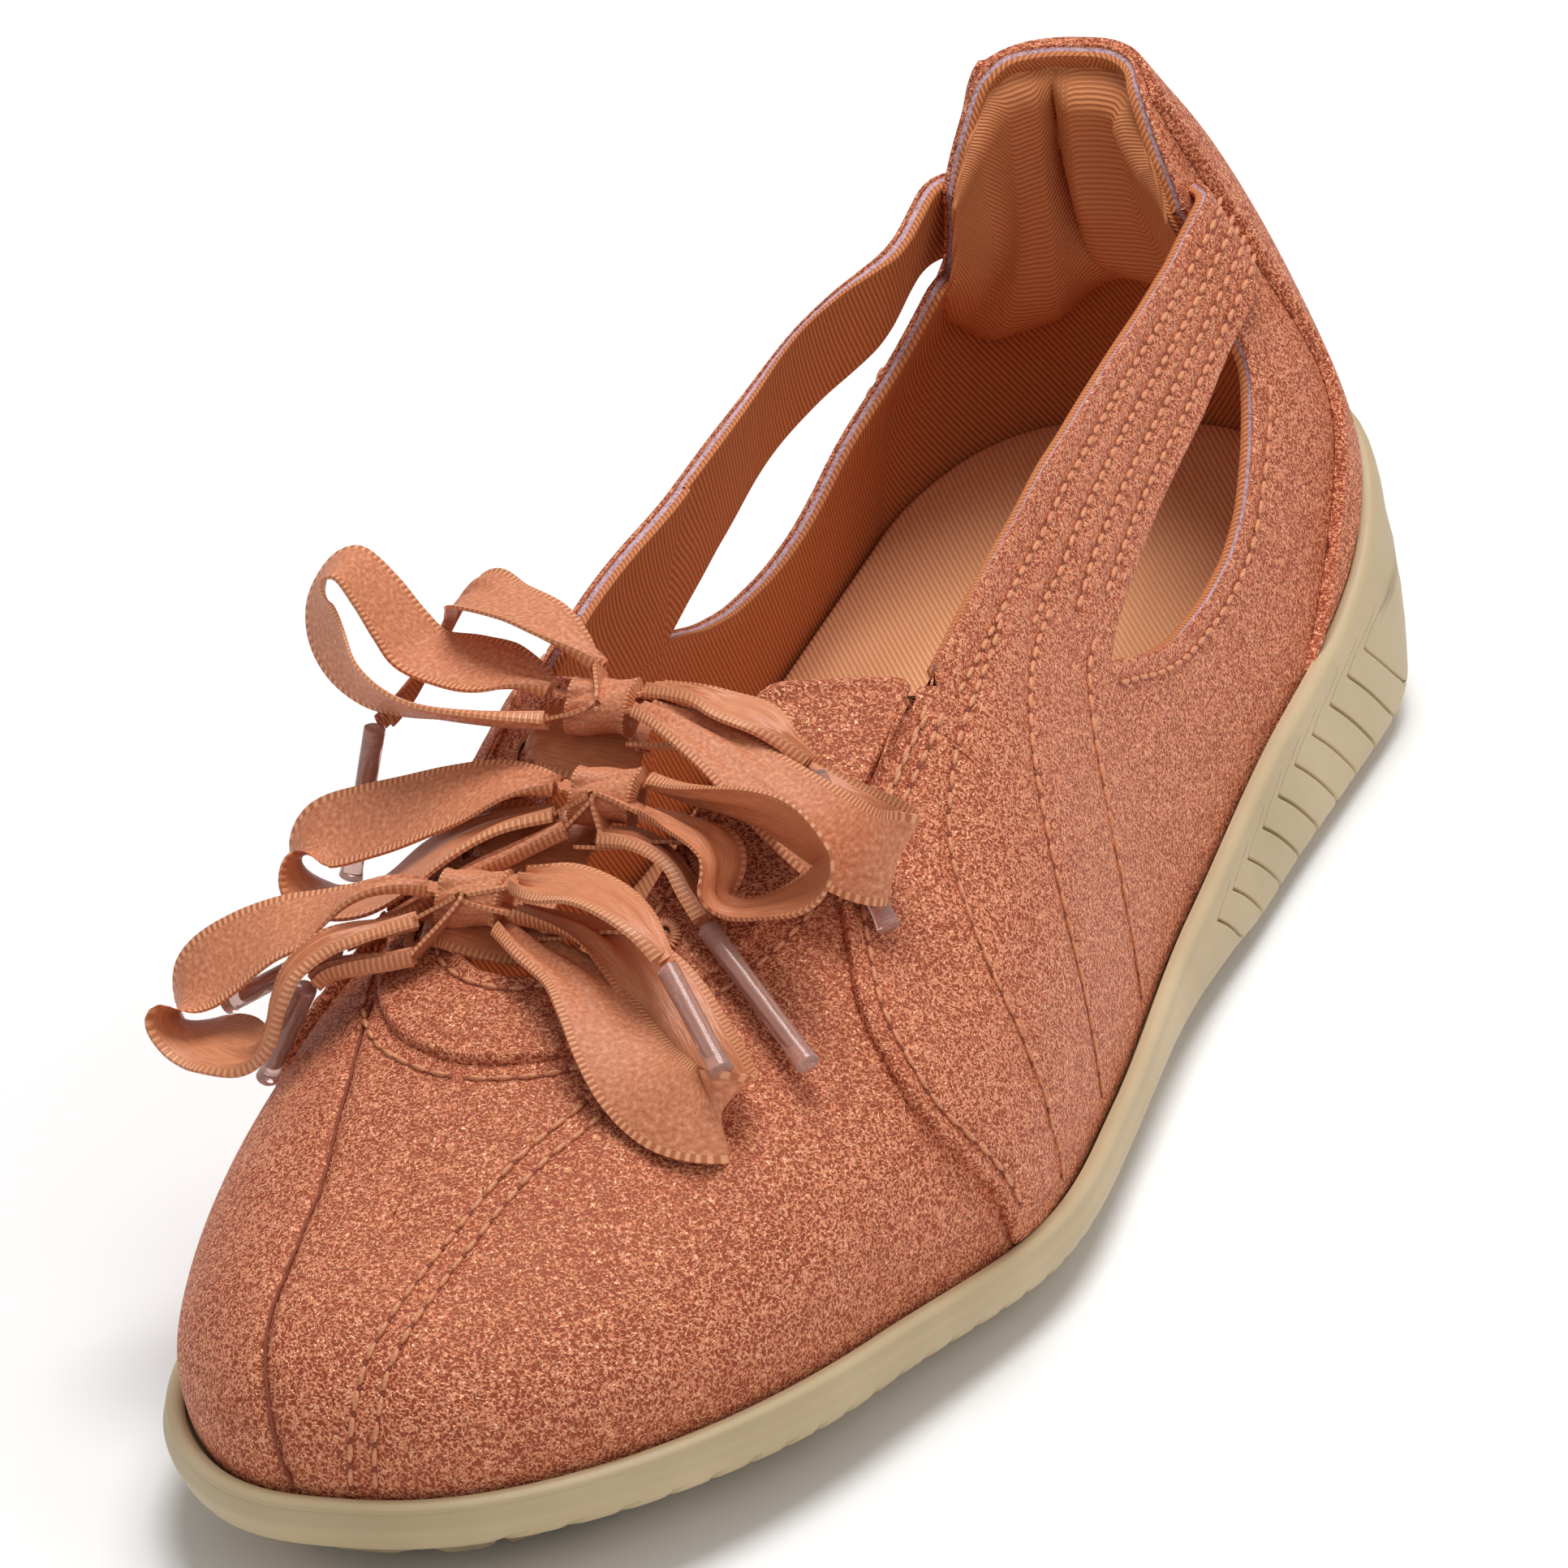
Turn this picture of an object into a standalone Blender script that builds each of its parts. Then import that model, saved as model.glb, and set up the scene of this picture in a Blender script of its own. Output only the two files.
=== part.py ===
"""Ballet sneaker, left shoe of a women's pair, size EU 37 (metres, +Z up, toe towards -Y, lateral side +X).

The tables and functions below work in millimetres on three coordinates: across (lateral positive),
place (measured along the foot from the back of the heel) and height. at() turns them into metres.
"""

import math

import bmesh
import bpy
import numpy as np
from mathutils import Vector

MM = 0.001
LENGTH = 246.0          # feather edge, heel to toe
WALL = 2.2              # upper's wall
GAP = 0.3               # room between pieces that touch
CUP_GAP = 0.4           # room between the upper and the rubber that wraps it
CENTRE_PLACE = 122.9    # the origin's place along the shoe
CENTRE_ACROSS = 2.2     # the origin's place across the shoe

# The last: half widths of the feather edge about the foot's middle line, the feather edge's height,
# how full the arch of the section is, and how far the wall swells past the feather edge.
SECTIONS = (
    # place middle lateral medial floor full swell
    (0, 2.0, 28.0, 27.5, 23.5, 1.75, 3.2),
    (15, 2.0, 32.0, 28.5, 21.5, 1.4, 2.2),
    (30, 2.0, 33.5, 30.5, 19.5, 1.32, 0.0),
    (60, 2.0, 33.5, 31.5, 16.5, 1.4, -1.5),
    (100, 1.0, 36.0, 32.5, 11.0, 1.6, -0.5),
    (140, -1.5, 43.0, 34.5, 8.2, 2.2, 1.5),
    (170, -6.0, 49.5, 33.0, 9.2, 2.3, 2.5),
    (200, -8.5, 44.5, 30.0, 11.5, 2.4, 2.8),
    (225, -8.8, 38.7, 29.0, 13.0, 2.1, 2.7),
    (246, -9.0, 32.0, 25.0, 14.0, 2.0, 2.0),
)
PLACE, MIDDLE, LATERAL, MEDIAL, FLOOR, FULL, SWELL = range(7)
# Height of the last's ridge, which the collar and the throat cut away behind the vamp.
RIDGE = (
    # place height
    (30, 99.0), (80, 98.0), (110, 83.0), (140, 65.5), (165, 51.5), (185, 44.8), (205, 39.4), (222, 34.0),
)
HEEL_ROUND, HEEL_POWER = 30.0, 2.5
TOE_ROUND, TOE_POWER = 58.0, 2.6
FAN_HEEL, FAN_TOE, FAN_SOFT = 30.0, LENGTH - 24.0, 12.0

# The rubber: how far its side stands outside the feather edge, what the side flares by towards the
# ground, the height of its underside, the height of the rounded corner and how far the corner tucks in.
SOLE = (
    # place outset flare bottom corner tuck
    (0, 3.0, -1.2, 6.5, 5.0, 6.0),
    (10, 3.2, -0.4, 3.8, 4.6, 5.5),
    (22, 3.2, 0.3, 1.0, 4.0, 5.0),
    (36, 3.0, 0.8, 0.0, 3.4, 5.0),
    (80, 2.8, 1.0, 0.0, 3.4, 6.0),
    (96, 2.7, 0.6, 1.0, 3.4, 7.0),
    (118, 2.6, 0.2, 1.7, 3.6, 7.0),
    (138, 2.6, 0.0, 1.0, 3.8, 7.0),
    (152, 2.7, 0.0, 0.0, 5.2, 8.6),
    (170, 2.7, 0.0, 0.0, 6.0, 10.0),
    (204, 2.7, 0.0, 0.0, 8.5, 15.0),
    (222, 2.8, 0.0, 1.2, 8.4, 15.0),
    (236, 2.9, -0.2, 3.2, 7.1, 12.4),
    (250, 3.0, -0.4, 6.0, 4.8, 8.0),
)
OUTSET, FLARE, BOTTOM, CORNER, TUCK = range(1, 6)
# How far the rubber stands above the feather edge: a cup round the heel, a low lip elsewhere.
CUP = (
    # place lip
    (0, 12.5), (10, 12.6), (19, 10.8), (27, 7.6), (33, 4.4), (42, 1.6), (56, 0.8), (246, 0.8),
)
CUP_WALL = 2.6
CHAMFER_IN, CHAMFER_UP = 0.14, 0.72   # where the underside's slope turns up into the side
BED_DROP = 1.2           # the rubber's footbed lies this far below the feather edge
SPINE_HEEL, SPINE_TOE = 28.0, LENGTH - 26.0
FLEX_GROOVES = (158.0, 205.0, 5, 2.0, 1.4)    # first place, last place, count, width, depth
HEEL_GROOVES = (36.0, 74.0, 4, 2.0, 1.4)

STATIONS = 32            # round one side of the outline
RISES = (0.0, 0.07, 0.15, 0.24, 0.34, 0.45, 0.56, 0.67, 0.78, 0.89, 1.0)

# Edges seen from the side (place, height).
STRAP_TOP = ((25.4, 67.2), (30, 67.0), (40, 66.2), (60, 65.4), (80, 64.9), (100, 63.2), (120, 60.6), (141, 57.2))
STRAP_BOTTOM = ((30, 55.9), (34, 54.8), (43, 52.8), (53, 51.2), (73, 48.7), (92, 45.4), (99, 42.8))
QUARTER_TOP = (
    (99, 42.8), (94, 41.2), (84, 37.5), (75, 35.7), (66, 35.3), (58, 36.0), (50, 38.3), (44.2, 41.4), (39.6, 44.0),
    (34.5, 47.2), (31.5, 49.9), (30.2, 52.9), (29.9, 55.0),
)
HEEL_TAB = (
    (-12, 81.4), (6, 81.4), (17, 81.0), (24, 79.8), (27.2, 77.8), (27.6, 75.6), (26.8, 72.0), (25.4, 67.2),
)
COUNTER_TOP = ((-12, 80.9), (6, 80.9), (17, 80.4), (22.5, 79.6), (25.0, 78.6))
COUNTER_FRONT = (
    (25.6, 78.0), (24.6, 74.0), (23.6, 66.0), (23.0, 56.0), (23.4, 46.0), (25.4, 36.0), (30.0, 28.6), (38.0, 22.6),
)
# The throat, as half widths about the middle line (place, half width), from its round front end back.
THROAT = (
    (185.4, 0.0), (184.8, 3.4), (182.8, 6.6), (179.4, 8.8), (174.0, 9.6), (160.0, 9.9),
    (146.4, 10.4), (144.6, 12.0), (139.6, 21.6), (137.0, 17.0),
)

INSOLE_THICK, INSOLE_DISH, INSOLE_ROOM = 4.0, 0.8, 0.7
COUNTER_THICK = 1.4
COUNTER_REACH, COUNTER_COLUMNS = 0.32, 33     # how far round each side the band runs before it is cut
COUNTER_RISE, COUNTER_ROWS = 0.66, 13
COUNTER_END = 47.0                            # the place where its lower edge meets the rubber's lip
LIP_GAP = 0.9                                 # room between the counter's lower edge and the rubber
PAD_EDGE, PAD_THICK = 0.8, 4.6
PAD_LOW, PAD_HIGH, PAD_REACH = 39.0, 77.0, 21.0

# The laces: flat ribbon, one bow to each pair of eyelets. A row is a point of the ribbon's middle line;
# turn is how far the ribbon is rolled about its own path, from lying with its width along the shoe.
RIBBON_THICK = 0.8
KNOTS = {
    # bow: across, place, height
    "top": (-7.5, 153.0, 61.9),
    "middle": (-3.4, 164.0, 56.6),
    "bottom": (-14.2, 178.5, 50.6),
}
KNOT_SIZE = (5.2, 3.2, 3.0)      # half length across, half depth, half height
BARS = {
    # bow: place, half length, tilt to the instep
    "top": (153.0, 14.5, 28.0),
    "middle": (165.5, 14.5, 24.0),
    "bottom": (178.0, 14.5, 16.0),
}
BAR_WIDTH, BAR_LIFT, BAR_SAG = 7.0, 1.5, 1.6
BAR_SHARES = (-1, -0.82, -0.62, -0.3, 0, 0.3, 0.62, 0.82, 1)   # its stations, as shares of its half length
GRID_FINE = 161          # points a side of the grid that finds the surface's height over the vamp
RIBBONS = {
    # bow, then loop or end, then side; columns: across place height turn width
    "bow_top_loop_medial": (
        (-13.4, 153.0, 63.6, 23, 4), (-17.0, 151.8, 64.4, 3, 8), (-21.0, 151.0, 64.8, -6, 10.5),
        (-25.5, 150.0, 65.0, -7, 10.5), (-30.4, 149.0, 65.6, -3, 10.5), (-33.2, 148.0, 67.9, -1, 10.5),
        (-36.1, 147.0, 71.5, 1, 10.5), (-39.2, 146.5, 74.6, 7, 10.5), (-41.9, 147.0, 73.6, -11, 10.5),
        (-42.7, 148.5, 70.2, -46, 10.5), (-41.1, 150.5, 66.8, -62, 10.5), (-38.1, 152.5, 64.2, -62, 10.5),
        (-34.0, 154.5, 62.6, -50, 10), (-28.1, 156.0, 61.6, -36, 9), (-20.3, 156.2, 61.2, -35, 7),
        (-13.4, 155.4, 61.0, -35, 4),
    ),
    "bow_top_loop_lateral": (
        (-1.6, 155.8, 63.4, -23, 4), (3.7, 157.8, 62.8, -10, 7), (9.6, 160.0, 61.5, -6, 9),
        (15.0, 162.0, 59.9, -8, 8.6), (21.3, 165.4, 57.3, -9, 8.4), (27.2, 168.0, 54.9, -8, 9.6),
        (32.6, 168.6, 53.4, -14, 10), (32.6, 164.0, 53.0, -24, 6), (27.8, 159.8, 52.8, -28, 5),
        (22.6, 156.4, 53.4, -28, 4.6), (17.0, 155.0, 56.0, -28, 5), (11.2, 154.6, 58.7, -26, 6.6),
        (5.4, 154.2, 60.8, -20, 6), (-1.6, 152.8, 61.8, -10, 4),
    ),
    "bow_top_end_medial": (
        (-8.5, 150.2, 65.6, 30, 4), (-12.9, 148.4, 68.0, 8, 8), (-17.6, 146.4, 69.8, 9, 10),
        (-23.5, 144.0, 70.2, 7, 9.5), (-27.6, 140.6, 69.0, -2, 8), (-30.6, 139.2, 65.6, -6, 6.5),
        (-32.6, 142.2, 61.8, -10, 6.5), (-34.2, 146.6, 59.0, -14, 5), (-35.2, 149.8, 57.8, -16, 3.4),
        (-35.6, 151.2, 57.5, -18, 3),
    ),
    "bow_top_end_lateral": (
        (-2.0, 151.0, 63.4, -22, 4), (3.6, 152.6, 63.9, -19, 5), (7.5, 153.4, 63.2, -10, 8),
        (11.6, 154.4, 62.3, -7, 8), (15.2, 156.0, 60.6, -14, 4.4), (18.2, 157.2, 58.7, -27, 2.6),
    ),
    "bow_middle_loop_medial": (
        (-9.2, 164.0, 57.6, 13, 4), (-13.0, 163.5, 57.4, 3, 8), (-18.4, 163.0, 56.0, -10, 10.5),
        (-24.0, 163.0, 54.2, -21, 10.5), (-29.6, 163.0, 52.2, -27, 10.5), (-34.9, 163.5, 50.7, -30, 10.5),
        (-39.0, 164.5, 49.6, -32, 10.5), (-41.0, 166.4, 47.6, -24, 10.5), (-38.9, 168.4, 44.8, -9, 10.5),
        (-34.4, 169.5, 44.3, -7, 10.5), (-29.5, 170.0, 46.1, 5, 10.5), (-24.8, 169.5, 49.3, 10, 10.5),
        (-20.4, 168.5, 52.2, 6, 9), (-15.4, 167.0, 54.0, -7, 7), (-9.2, 165.5, 54.9, -17, 4),
    ),
    "bow_middle_loop_lateral": (
        (2.4, 163.4, 58.2, -40, 4), (7.2, 165.4, 58.0, -50, 6), (13.6, 168.8, 58.8, -60, 8),
        (19.2, 171.9, 59.3, -66, 9.5), (23.8, 174.2, 58.8, -64, 10.5), (26.6, 175.4, 56.8, -46, 10.5),
        (24.9, 176.0, 53.8, -14, 10.5), (20.8, 176.2, 51.6, 0, 9), (16.3, 176.2, 50.4, 8, 8),
        (13.6, 175.8, 51.5, 4, 8), (13.2, 173.2, 54.2, -6, 8), (11.2, 170.8, 55.8, 4, 8),
        (7.6, 168.8, 56.2, 14, 7), (2.6, 166.8, 56.2, 24, 4),
    ),
    "bow_middle_end_medial": (
        (-7.1, 168.0, 54.4, 9, 4), (-12.0, 170.4, 52.6, 4, 5), (-17.4, 173.2, 50.6, 0, 4.5),
        (-22.0, 176.6, 48.4, 0, 4.5), (-26.5, 180.0, 46.6, 9, 4), (-29.2, 181.3, 45.7, 15, 3),
    ),
    "bow_middle_end_lateral": (
        (-2.4, 168.2, 53.8, -13, 4), (1.2, 168.8, 54.0, -12, 5), (4.4, 170.2, 53.4, -26, 5),
        (7.6, 172.4, 52.2, -33, 5), (9.8, 175.0, 50.6, -30, 4), (12.2, 177.4, 49.0, -34, 3),
    ),
    "bow_bottom_loop_medial": (
        (-20.0, 178.0, 51.4, 16, 4), (-23.0, 179.0, 52.2, 16, 6), (-26.9, 180.0, 51.6, 7, 8),
        (-32.6, 181.0, 48.4, -10, 10.5), (-37.3, 182.0, 46.9, -21, 10.5), (-42.3, 183.0, 44.2, -36, 10.5),
        (-46.7, 184.5, 41.1, -40, 10.5), (-48.6, 186.6, 37.8, -22, 10.5), (-45.4, 188.4, 36.6, 6, 10.5),
        (-41.8, 189.6, 36.4, 10, 10.5), (-37.4, 191.6, 36.8, 14, 7), (-34.3, 192.6, 39.6, 21, 5),
        (-32.9, 192.2, 43.4, 22, 5), (-31.4, 190.6, 46.7, 19, 5), (-28.6, 188.0, 48.8, 9, 5),
        (-25.6, 185.6, 49.2, -9, 5), (-23.2, 183.6, 49.0, -24, 4), (-20.2, 181.4, 49.0, -29, 3),
    ),
    "bow_bottom_loop_lateral": (
        (-9.4, 181.6, 48.8, -35, 4), (-4.0, 185.4, 48.6, -19, 7), (2.8, 188.6, 48.2, -11, 10.5),
        (7.7, 192.4, 47.2, -20, 10.5), (11.3, 196.7, 44.8, -13, 10.5), (16.3, 200.7, 41.9, -4, 10.5),
        (22.0, 203.2, 40.3, 9, 10.5), (26.8, 202.2, 40.8, 0, 10.5), (24.4, 197.0, 41.6, -8, 9),
        (18.6, 191.8, 43.6, -14, 9), (13.0, 187.4, 46.0, -12, 9), (7.4, 184.4, 48.0, -4, 8),
        (0.9, 182.2, 49.6, 8, 6), (-8.2, 180.4, 50.2, 26, 3),
    ),
    "bow_bottom_end_medial": (
        (-19.4, 184.8, 46.4, 20, 3), (-22.8, 185.8, 46.0, 18, 3), (-26.1, 186.6, 45.8, 14, 3),
        (-28.9, 187.4, 45.4, -12, 3), (-30.4, 188.2, 44.4, -27, 3),
    ),
    "bow_bottom_end_lateral": (
        (-8.6, 178.4, 53.2, 0, 4), (-4.0, 180.0, 54.0, 2, 8), (1.9, 182.4, 54.4, -12, 9),
        (6.5, 185.2, 53.8, -15, 8), (10.4, 188.4, 52.4, -22, 6), (12.9, 190.6, 51.0, -35, 3),
    ),
}
AGLET_RADIUS = 1.25
AGLETS = {
    # two ends of each stiff tip
    "aglet_top_medial": ((-35.8, 152.9, 57.5), (-40.7, 154.5, 39.3)),
    "aglet_top_lateral": ((19.0, 157.8, 57.6), (29.6, 167.4, 44.4)),
    "aglet_middle_medial": ((-30.1, 181.9, 45.3), (-44.7, 181.2, 36.9)),
    "aglet_middle_lateral": ((12.8, 177.9, 48.5), (28.0, 190.0, 39.4)),
    "aglet_bottom_medial": ((-31.2, 188.4, 43.5), (-39.0, 185.6, 30.4)),
    "aglet_bottom_lateral": ((13.6, 191.2, 50.5), (22.6, 200.6, 43.8)),
}


def smooth(rows, column, x):
    """One column of a table at x, on a cubic through the rows that never overshoots."""
    xs = np.array([row[0] for row in rows], float)
    ys = np.array([row[column] for row in rows], float)
    step = np.diff(xs)
    slope = np.diff(ys) / step
    tangent = np.empty(len(xs))
    tangent[0], tangent[-1] = slope[0], slope[-1]
    near = 2 * step[1:] + step[:-1]
    far = step[1:] + 2 * step[:-1]
    same = slope[:-1] * slope[1:] > 0
    safe_before = np.where(same, slope[:-1], 1)
    safe_after = np.where(same, slope[1:], 1)
    tangent[1:-1] = np.where(same, (near + far) / (near / safe_before + far / safe_after), 0)
    x = np.clip(np.asarray(x, float), xs[0], xs[-1])
    i = np.clip(np.searchsorted(xs, x, side="right") - 1, 0, len(xs) - 2)
    t = (x - xs[i]) / step[i]
    start = (2 * t**3 - 3 * t**2 + 1) * ys[i] + (t**3 - 2 * t**2 + t) * step[i] * tangent[i]
    end = (3 * t**2 - 2 * t**3) * ys[i + 1] + (t**3 - t**2) * step[i] * tangent[i + 1]
    return start + end


def rounding(place):
    """How much of the half width is left where the outline rounds off at the heel and the toe."""
    heel = np.clip(1 - place / HEEL_ROUND, 0, 1)
    toe = np.clip((place - (LENGTH - TOE_ROUND)) / TOE_ROUND, 0, 1)
    return (1 - heel**HEEL_POWER) ** (1 / HEEL_POWER) * (1 - toe**TOE_POWER) ** (1 / TOE_POWER)


def feather(u, side):
    """The feather edge: u runs 0 at the heel to 1 at the toe, side is 1 lateral and -1 medial."""
    place = LENGTH * (1 - np.cos(np.pi * u)) / 2
    half = np.where(side > 0, smooth(SECTIONS, LATERAL, place), smooth(SECTIONS, MEDIAL, place))
    across = smooth(SECTIONS, MIDDLE, place) + side * half * rounding(place)
    return across, place, smooth(SECTIONS, FLOOR, place)


def u_at(place):
    """The u of the feather edge's station at a place."""
    return np.arccos(1 - 2 * place / LENGTH) / np.pi


def fan(place, low, high, soft):
    """The place on a middle line that a rib runs to: its own, gathered in at both ends."""
    place = low + soft * np.logaddexp(0, (place - low) / soft)
    place = high - soft * np.logaddexp(0, (high - place) / soft)
    return np.clip(place, low, high)


def surface(u, rise, side):
    """The upper's outer surface: rise runs 0 at the feather edge to 1 at the ridge."""
    across, place, floor = feather(u, side)
    root = fan(place, FAN_HEEL, FAN_TOE, FAN_SOFT)
    root_across = smooth(SECTIONS, MIDDLE, root)
    full = smooth(SECTIONS, FULL, place)
    angle = rise * np.pi / 2
    out = np.cos(angle) ** (2 / full)
    up = np.sin(angle) ** (2 / full)
    to_side = across - root_across
    to_end = place - root
    reach = np.hypot(to_side, to_end) + 1e-9
    swell = smooth(SECTIONS, SWELL, place) * np.sin(np.pi * np.clip(rise * 1.15, 0, 1)) * np.sqrt(1 - rise)
    return np.stack((
        root_across + to_side * (out + swell / reach),
        root + to_end * (out + swell / reach),
        floor + (smooth(RIDGE, 1, root) - floor) * up,
    ), -1)


def offset(u, rise, side, distance):
    """The surface moved along its own normal, outwards for a positive distance."""
    step = 1e-3
    low = np.clip(rise - step, 0, 1)
    high = np.clip(rise + step, 0, 1)
    up = surface(u, high, side) - surface(u, low, side)
    near = np.where(u < step, -side, side)
    behind = surface(np.abs(u - step), rise, near)
    ahead = surface(np.minimum(u + step, 1), rise, side)
    normal = np.cross(ahead - behind, up) * np.asarray(side)[..., None]
    normal /= np.linalg.norm(normal, axis=-1, keepdims=True) + 1e-12
    return surface(u, rise, side) + normal * np.asarray(distance)[..., None]


def rise_at(u, side, height):
    """The rise at which the surface reaches this much above the feather edge."""
    _, place, floor = feather(u, side)
    ridge = smooth(RIDGE, 1, fan(place, FAN_HEEL, FAN_TOE, FAN_SOFT))
    share = np.clip(height / (ridge - floor), 0, 1)
    return np.arcsin(share ** (smooth(SECTIONS, FULL, place) / 2)) * 2 / np.pi


def outline():
    """The closed round of stations: lateral side from heel to toe, then medial side back."""
    u = np.linspace(0, 1, STATIONS + 1)
    side = np.concatenate((np.ones(STATIONS + 1), -np.ones(STATIONS - 1)))
    return np.concatenate((u, u[-2:0:-1])), side


def outward(across, place):
    """Unit normals in plan of a closed round of points."""
    run_across = np.roll(across, -1) - np.roll(across, 1)
    run_place = np.roll(place, -1) - np.roll(place, 1)
    size = np.hypot(run_across, run_place)
    return run_place / size, -run_across / size


def at(across, place, height):
    return Vector(((across - CENTRE_ACROSS) * MM, (CENTRE_PLACE - place) * MM, height * MM))


# ---------------------------------------------------------------- mesh helpers

def material(name, colour, roughness, metallic=0.0):
    made = bpy.data.materials.new(name)
    made.use_nodes = True
    shader = made.node_tree.nodes["Principled BSDF"]
    shader.inputs["Base Color"].default_value = (*colour, 1)
    shader.inputs["Roughness"].default_value = roughness
    shader.inputs["Metallic"].default_value = metallic
    return made


def add_object(name, shape, collection, look=None):
    """A new object from a bmesh, shaded smooth up to its sharp edges."""
    mesh = bpy.data.meshes.new(name)
    shape.to_mesh(mesh)
    shape.free()
    mesh.shade_smooth()
    mesh.set_sharp_from_angle(angle=math.radians(35))
    made = bpy.data.objects.new(name, mesh)
    collection.objects.link(made)
    if look:
        mesh.materials.append(look)
    return made


def rings_mesh(rings, closed_round=True):
    """Quads between rings of points, each ring as long as the next; doubled points are merged."""
    shape = bmesh.new()
    rows = [[shape.verts.new(at(*point)) for point in ring] for ring in rings]
    count = len(rows[0])
    for low, high in zip(rows, rows[1:]):
        for k in range(count if closed_round else count - 1):
            after = (k + 1) % count
            shape.faces.new((low[k], high[k], high[after], low[after]))
    return shape


def merge(shape, distance=0.02 * MM):
    bmesh.ops.remove_doubles(shape, verts=shape.verts, dist=distance)
    return shape


def slab(name, outer, inner, collection, look):
    """A solid between two grids of the same size, closed round its four edges."""
    shape = rings_mesh(outer, closed_round=False)
    back = rings_mesh(inner, closed_round=False)
    mesh = bpy.data.meshes.new("back")
    back.to_mesh(mesh)
    back.free()
    shape.from_mesh(mesh)
    bpy.data.meshes.remove(mesh)
    shape.verts.ensure_lookup_table()
    rows, columns = len(outer), len(outer[0])
    far = rows * columns
    rim = [k for k in range(columns)]
    rim += [row * columns + columns - 1 for row in range(1, rows)]
    rim += [(rows - 1) * columns + k for k in range(columns - 2, -1, -1)]
    rim += [row * columns for row in range(rows - 2, 0, -1)]
    for first, second in zip(rim, rim[1:] + rim[:1]):
        verts = [shape.verts[i] for i in (first, second, second + far, first + far)]
        shape.faces.new(verts)
    bmesh.ops.recalc_face_normals(shape, faces=shape.faces)
    return add_object(name, shape, collection, look)


def prism(name, points, across_view, low, high, collection):
    """A cutter: an outline pushed out along X (side view) or along Z (plan view)."""
    shape = bmesh.new()
    if across_view:
        verts = [shape.verts.new(at(low, place, height)) for place, height in points]
        push = Vector(((high - low) * MM, 0, 0))
    else:
        verts = [shape.verts.new(at(across, place, low)) for across, place in points]
        push = Vector((0, 0, (high - low) * MM))
    face = shape.faces.new(verts)
    grown = bmesh.ops.extrude_face_region(shape, geom=[face])
    moved = [part for part in grown["geom"] if isinstance(part, bmesh.types.BMVert)]
    bmesh.ops.translate(shape, verts=moved, vec=push)
    bmesh.ops.recalc_face_normals(shape, faces=shape.faces)
    made = add_object(name, shape, collection)
    made.hide_render = True
    made.display_type = "WIRE"
    return made


def cut(target, cutter, operation="DIFFERENCE"):
    modifier = target.modifiers.new(cutter.name, "BOOLEAN")
    modifier.object = cutter
    modifier.operation = operation
    modifier.solver = "EXACT"


def curve_points(points, count):
    """Even points on the smooth curve through an edge's own points (place must not turn back)."""
    rows = sorted(points)
    places = np.linspace(rows[0][0], rows[-1][0], count)
    heights = smooth(rows, 1, places)
    pairs = list(zip(places, heights))
    return pairs if points[0][0] < points[-1][0] else pairs[::-1]


# ---------------------------------------------------------------- pieces

def outsole(collection, cutters, look):
    u, side = outline()
    across, place, floor = feather(u, side)
    out_across, out_place = outward(across, place)
    lip = smooth(CUP, 1, place)
    sole = [smooth(SOLE, column, place) for column in range(6)]
    edge = sole[OUTSET] + sole[FLARE]
    spine = fan(place, SPINE_HEEL, SPINE_TOE, FAN_SOFT)
    spine_across = smooth(SECTIONS, MIDDLE, spine)

    def beside(base_across, base_place, distance, height):
        return list(zip(base_across + out_across * distance, base_place + out_place * distance, height))

    def under(share):
        """A ring of the underside, part of the way from the spine to the tucked edge."""
        ring_across = spine_across + share * (across + out_across * (edge - sole[TUCK]) - spine_across)
        ring_place = spine + share * (place + out_place * (edge - sole[TUCK]) - spine)
        return list(zip(ring_across, ring_place, smooth(SOLE, BOTTOM, ring_place)))

    def wall(height, distance):
        """A ring that follows the upper's wall at a height above the feather edge."""
        points = surface(u, rise_at(u, side, height), side)
        return beside(points[:, 0], points[:, 1], distance, points[:, 2])

    bottom = smooth(SOLE, BOTTOM, place)
    corner = bottom + sole[CORNER]
    cup_wall = np.minimum(CUP_WALL, sole[OUTSET] - 0.1)
    rings = [
        list(zip(spine_across, spine, smooth(SOLE, BOTTOM, spine))),
        under(0.6),
        under(1.0),
        beside(across, place, edge - CHAMFER_IN * sole[TUCK], bottom + CHAMFER_UP * sole[CORNER]),
        beside(across, place, edge, corner),
        beside(across, place, sole[OUTSET] + 0.4 * sole[FLARE], (corner + floor) / 2),
        beside(across, place, sole[OUTSET], floor - 0.8),
        wall(lip - 0.6, cup_wall),
        wall(lip, cup_wall - 0.7),
        wall(lip, CUP_GAP),
        wall(lip / 2, CUP_GAP),
        beside(across, place, CUP_GAP, floor - BED_DROP),
        list(zip(spine_across, spine, smooth(SECTIONS, FLOOR, spine) - BED_DROP)),
    ]
    shape = merge(rings_mesh(rings))
    bmesh.ops.recalc_face_normals(shape, faces=shape.faces)
    made = add_object("outsole", shape, collection, look)
    for first, last, count, width, depth in (FLEX_GROOVES, HEEL_GROOVES):
        for k, middle in enumerate(np.linspace(first, last, count)):
            low, high = middle - width / 2, middle + width / 2
            groove = prism(
                f"groove_{first:.0f}_{k}", ((low, -9), (high, -9), (high, depth), (low, depth)), True, -70, 70, cutters
            )
            cut(made, groove)
    return made


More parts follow.
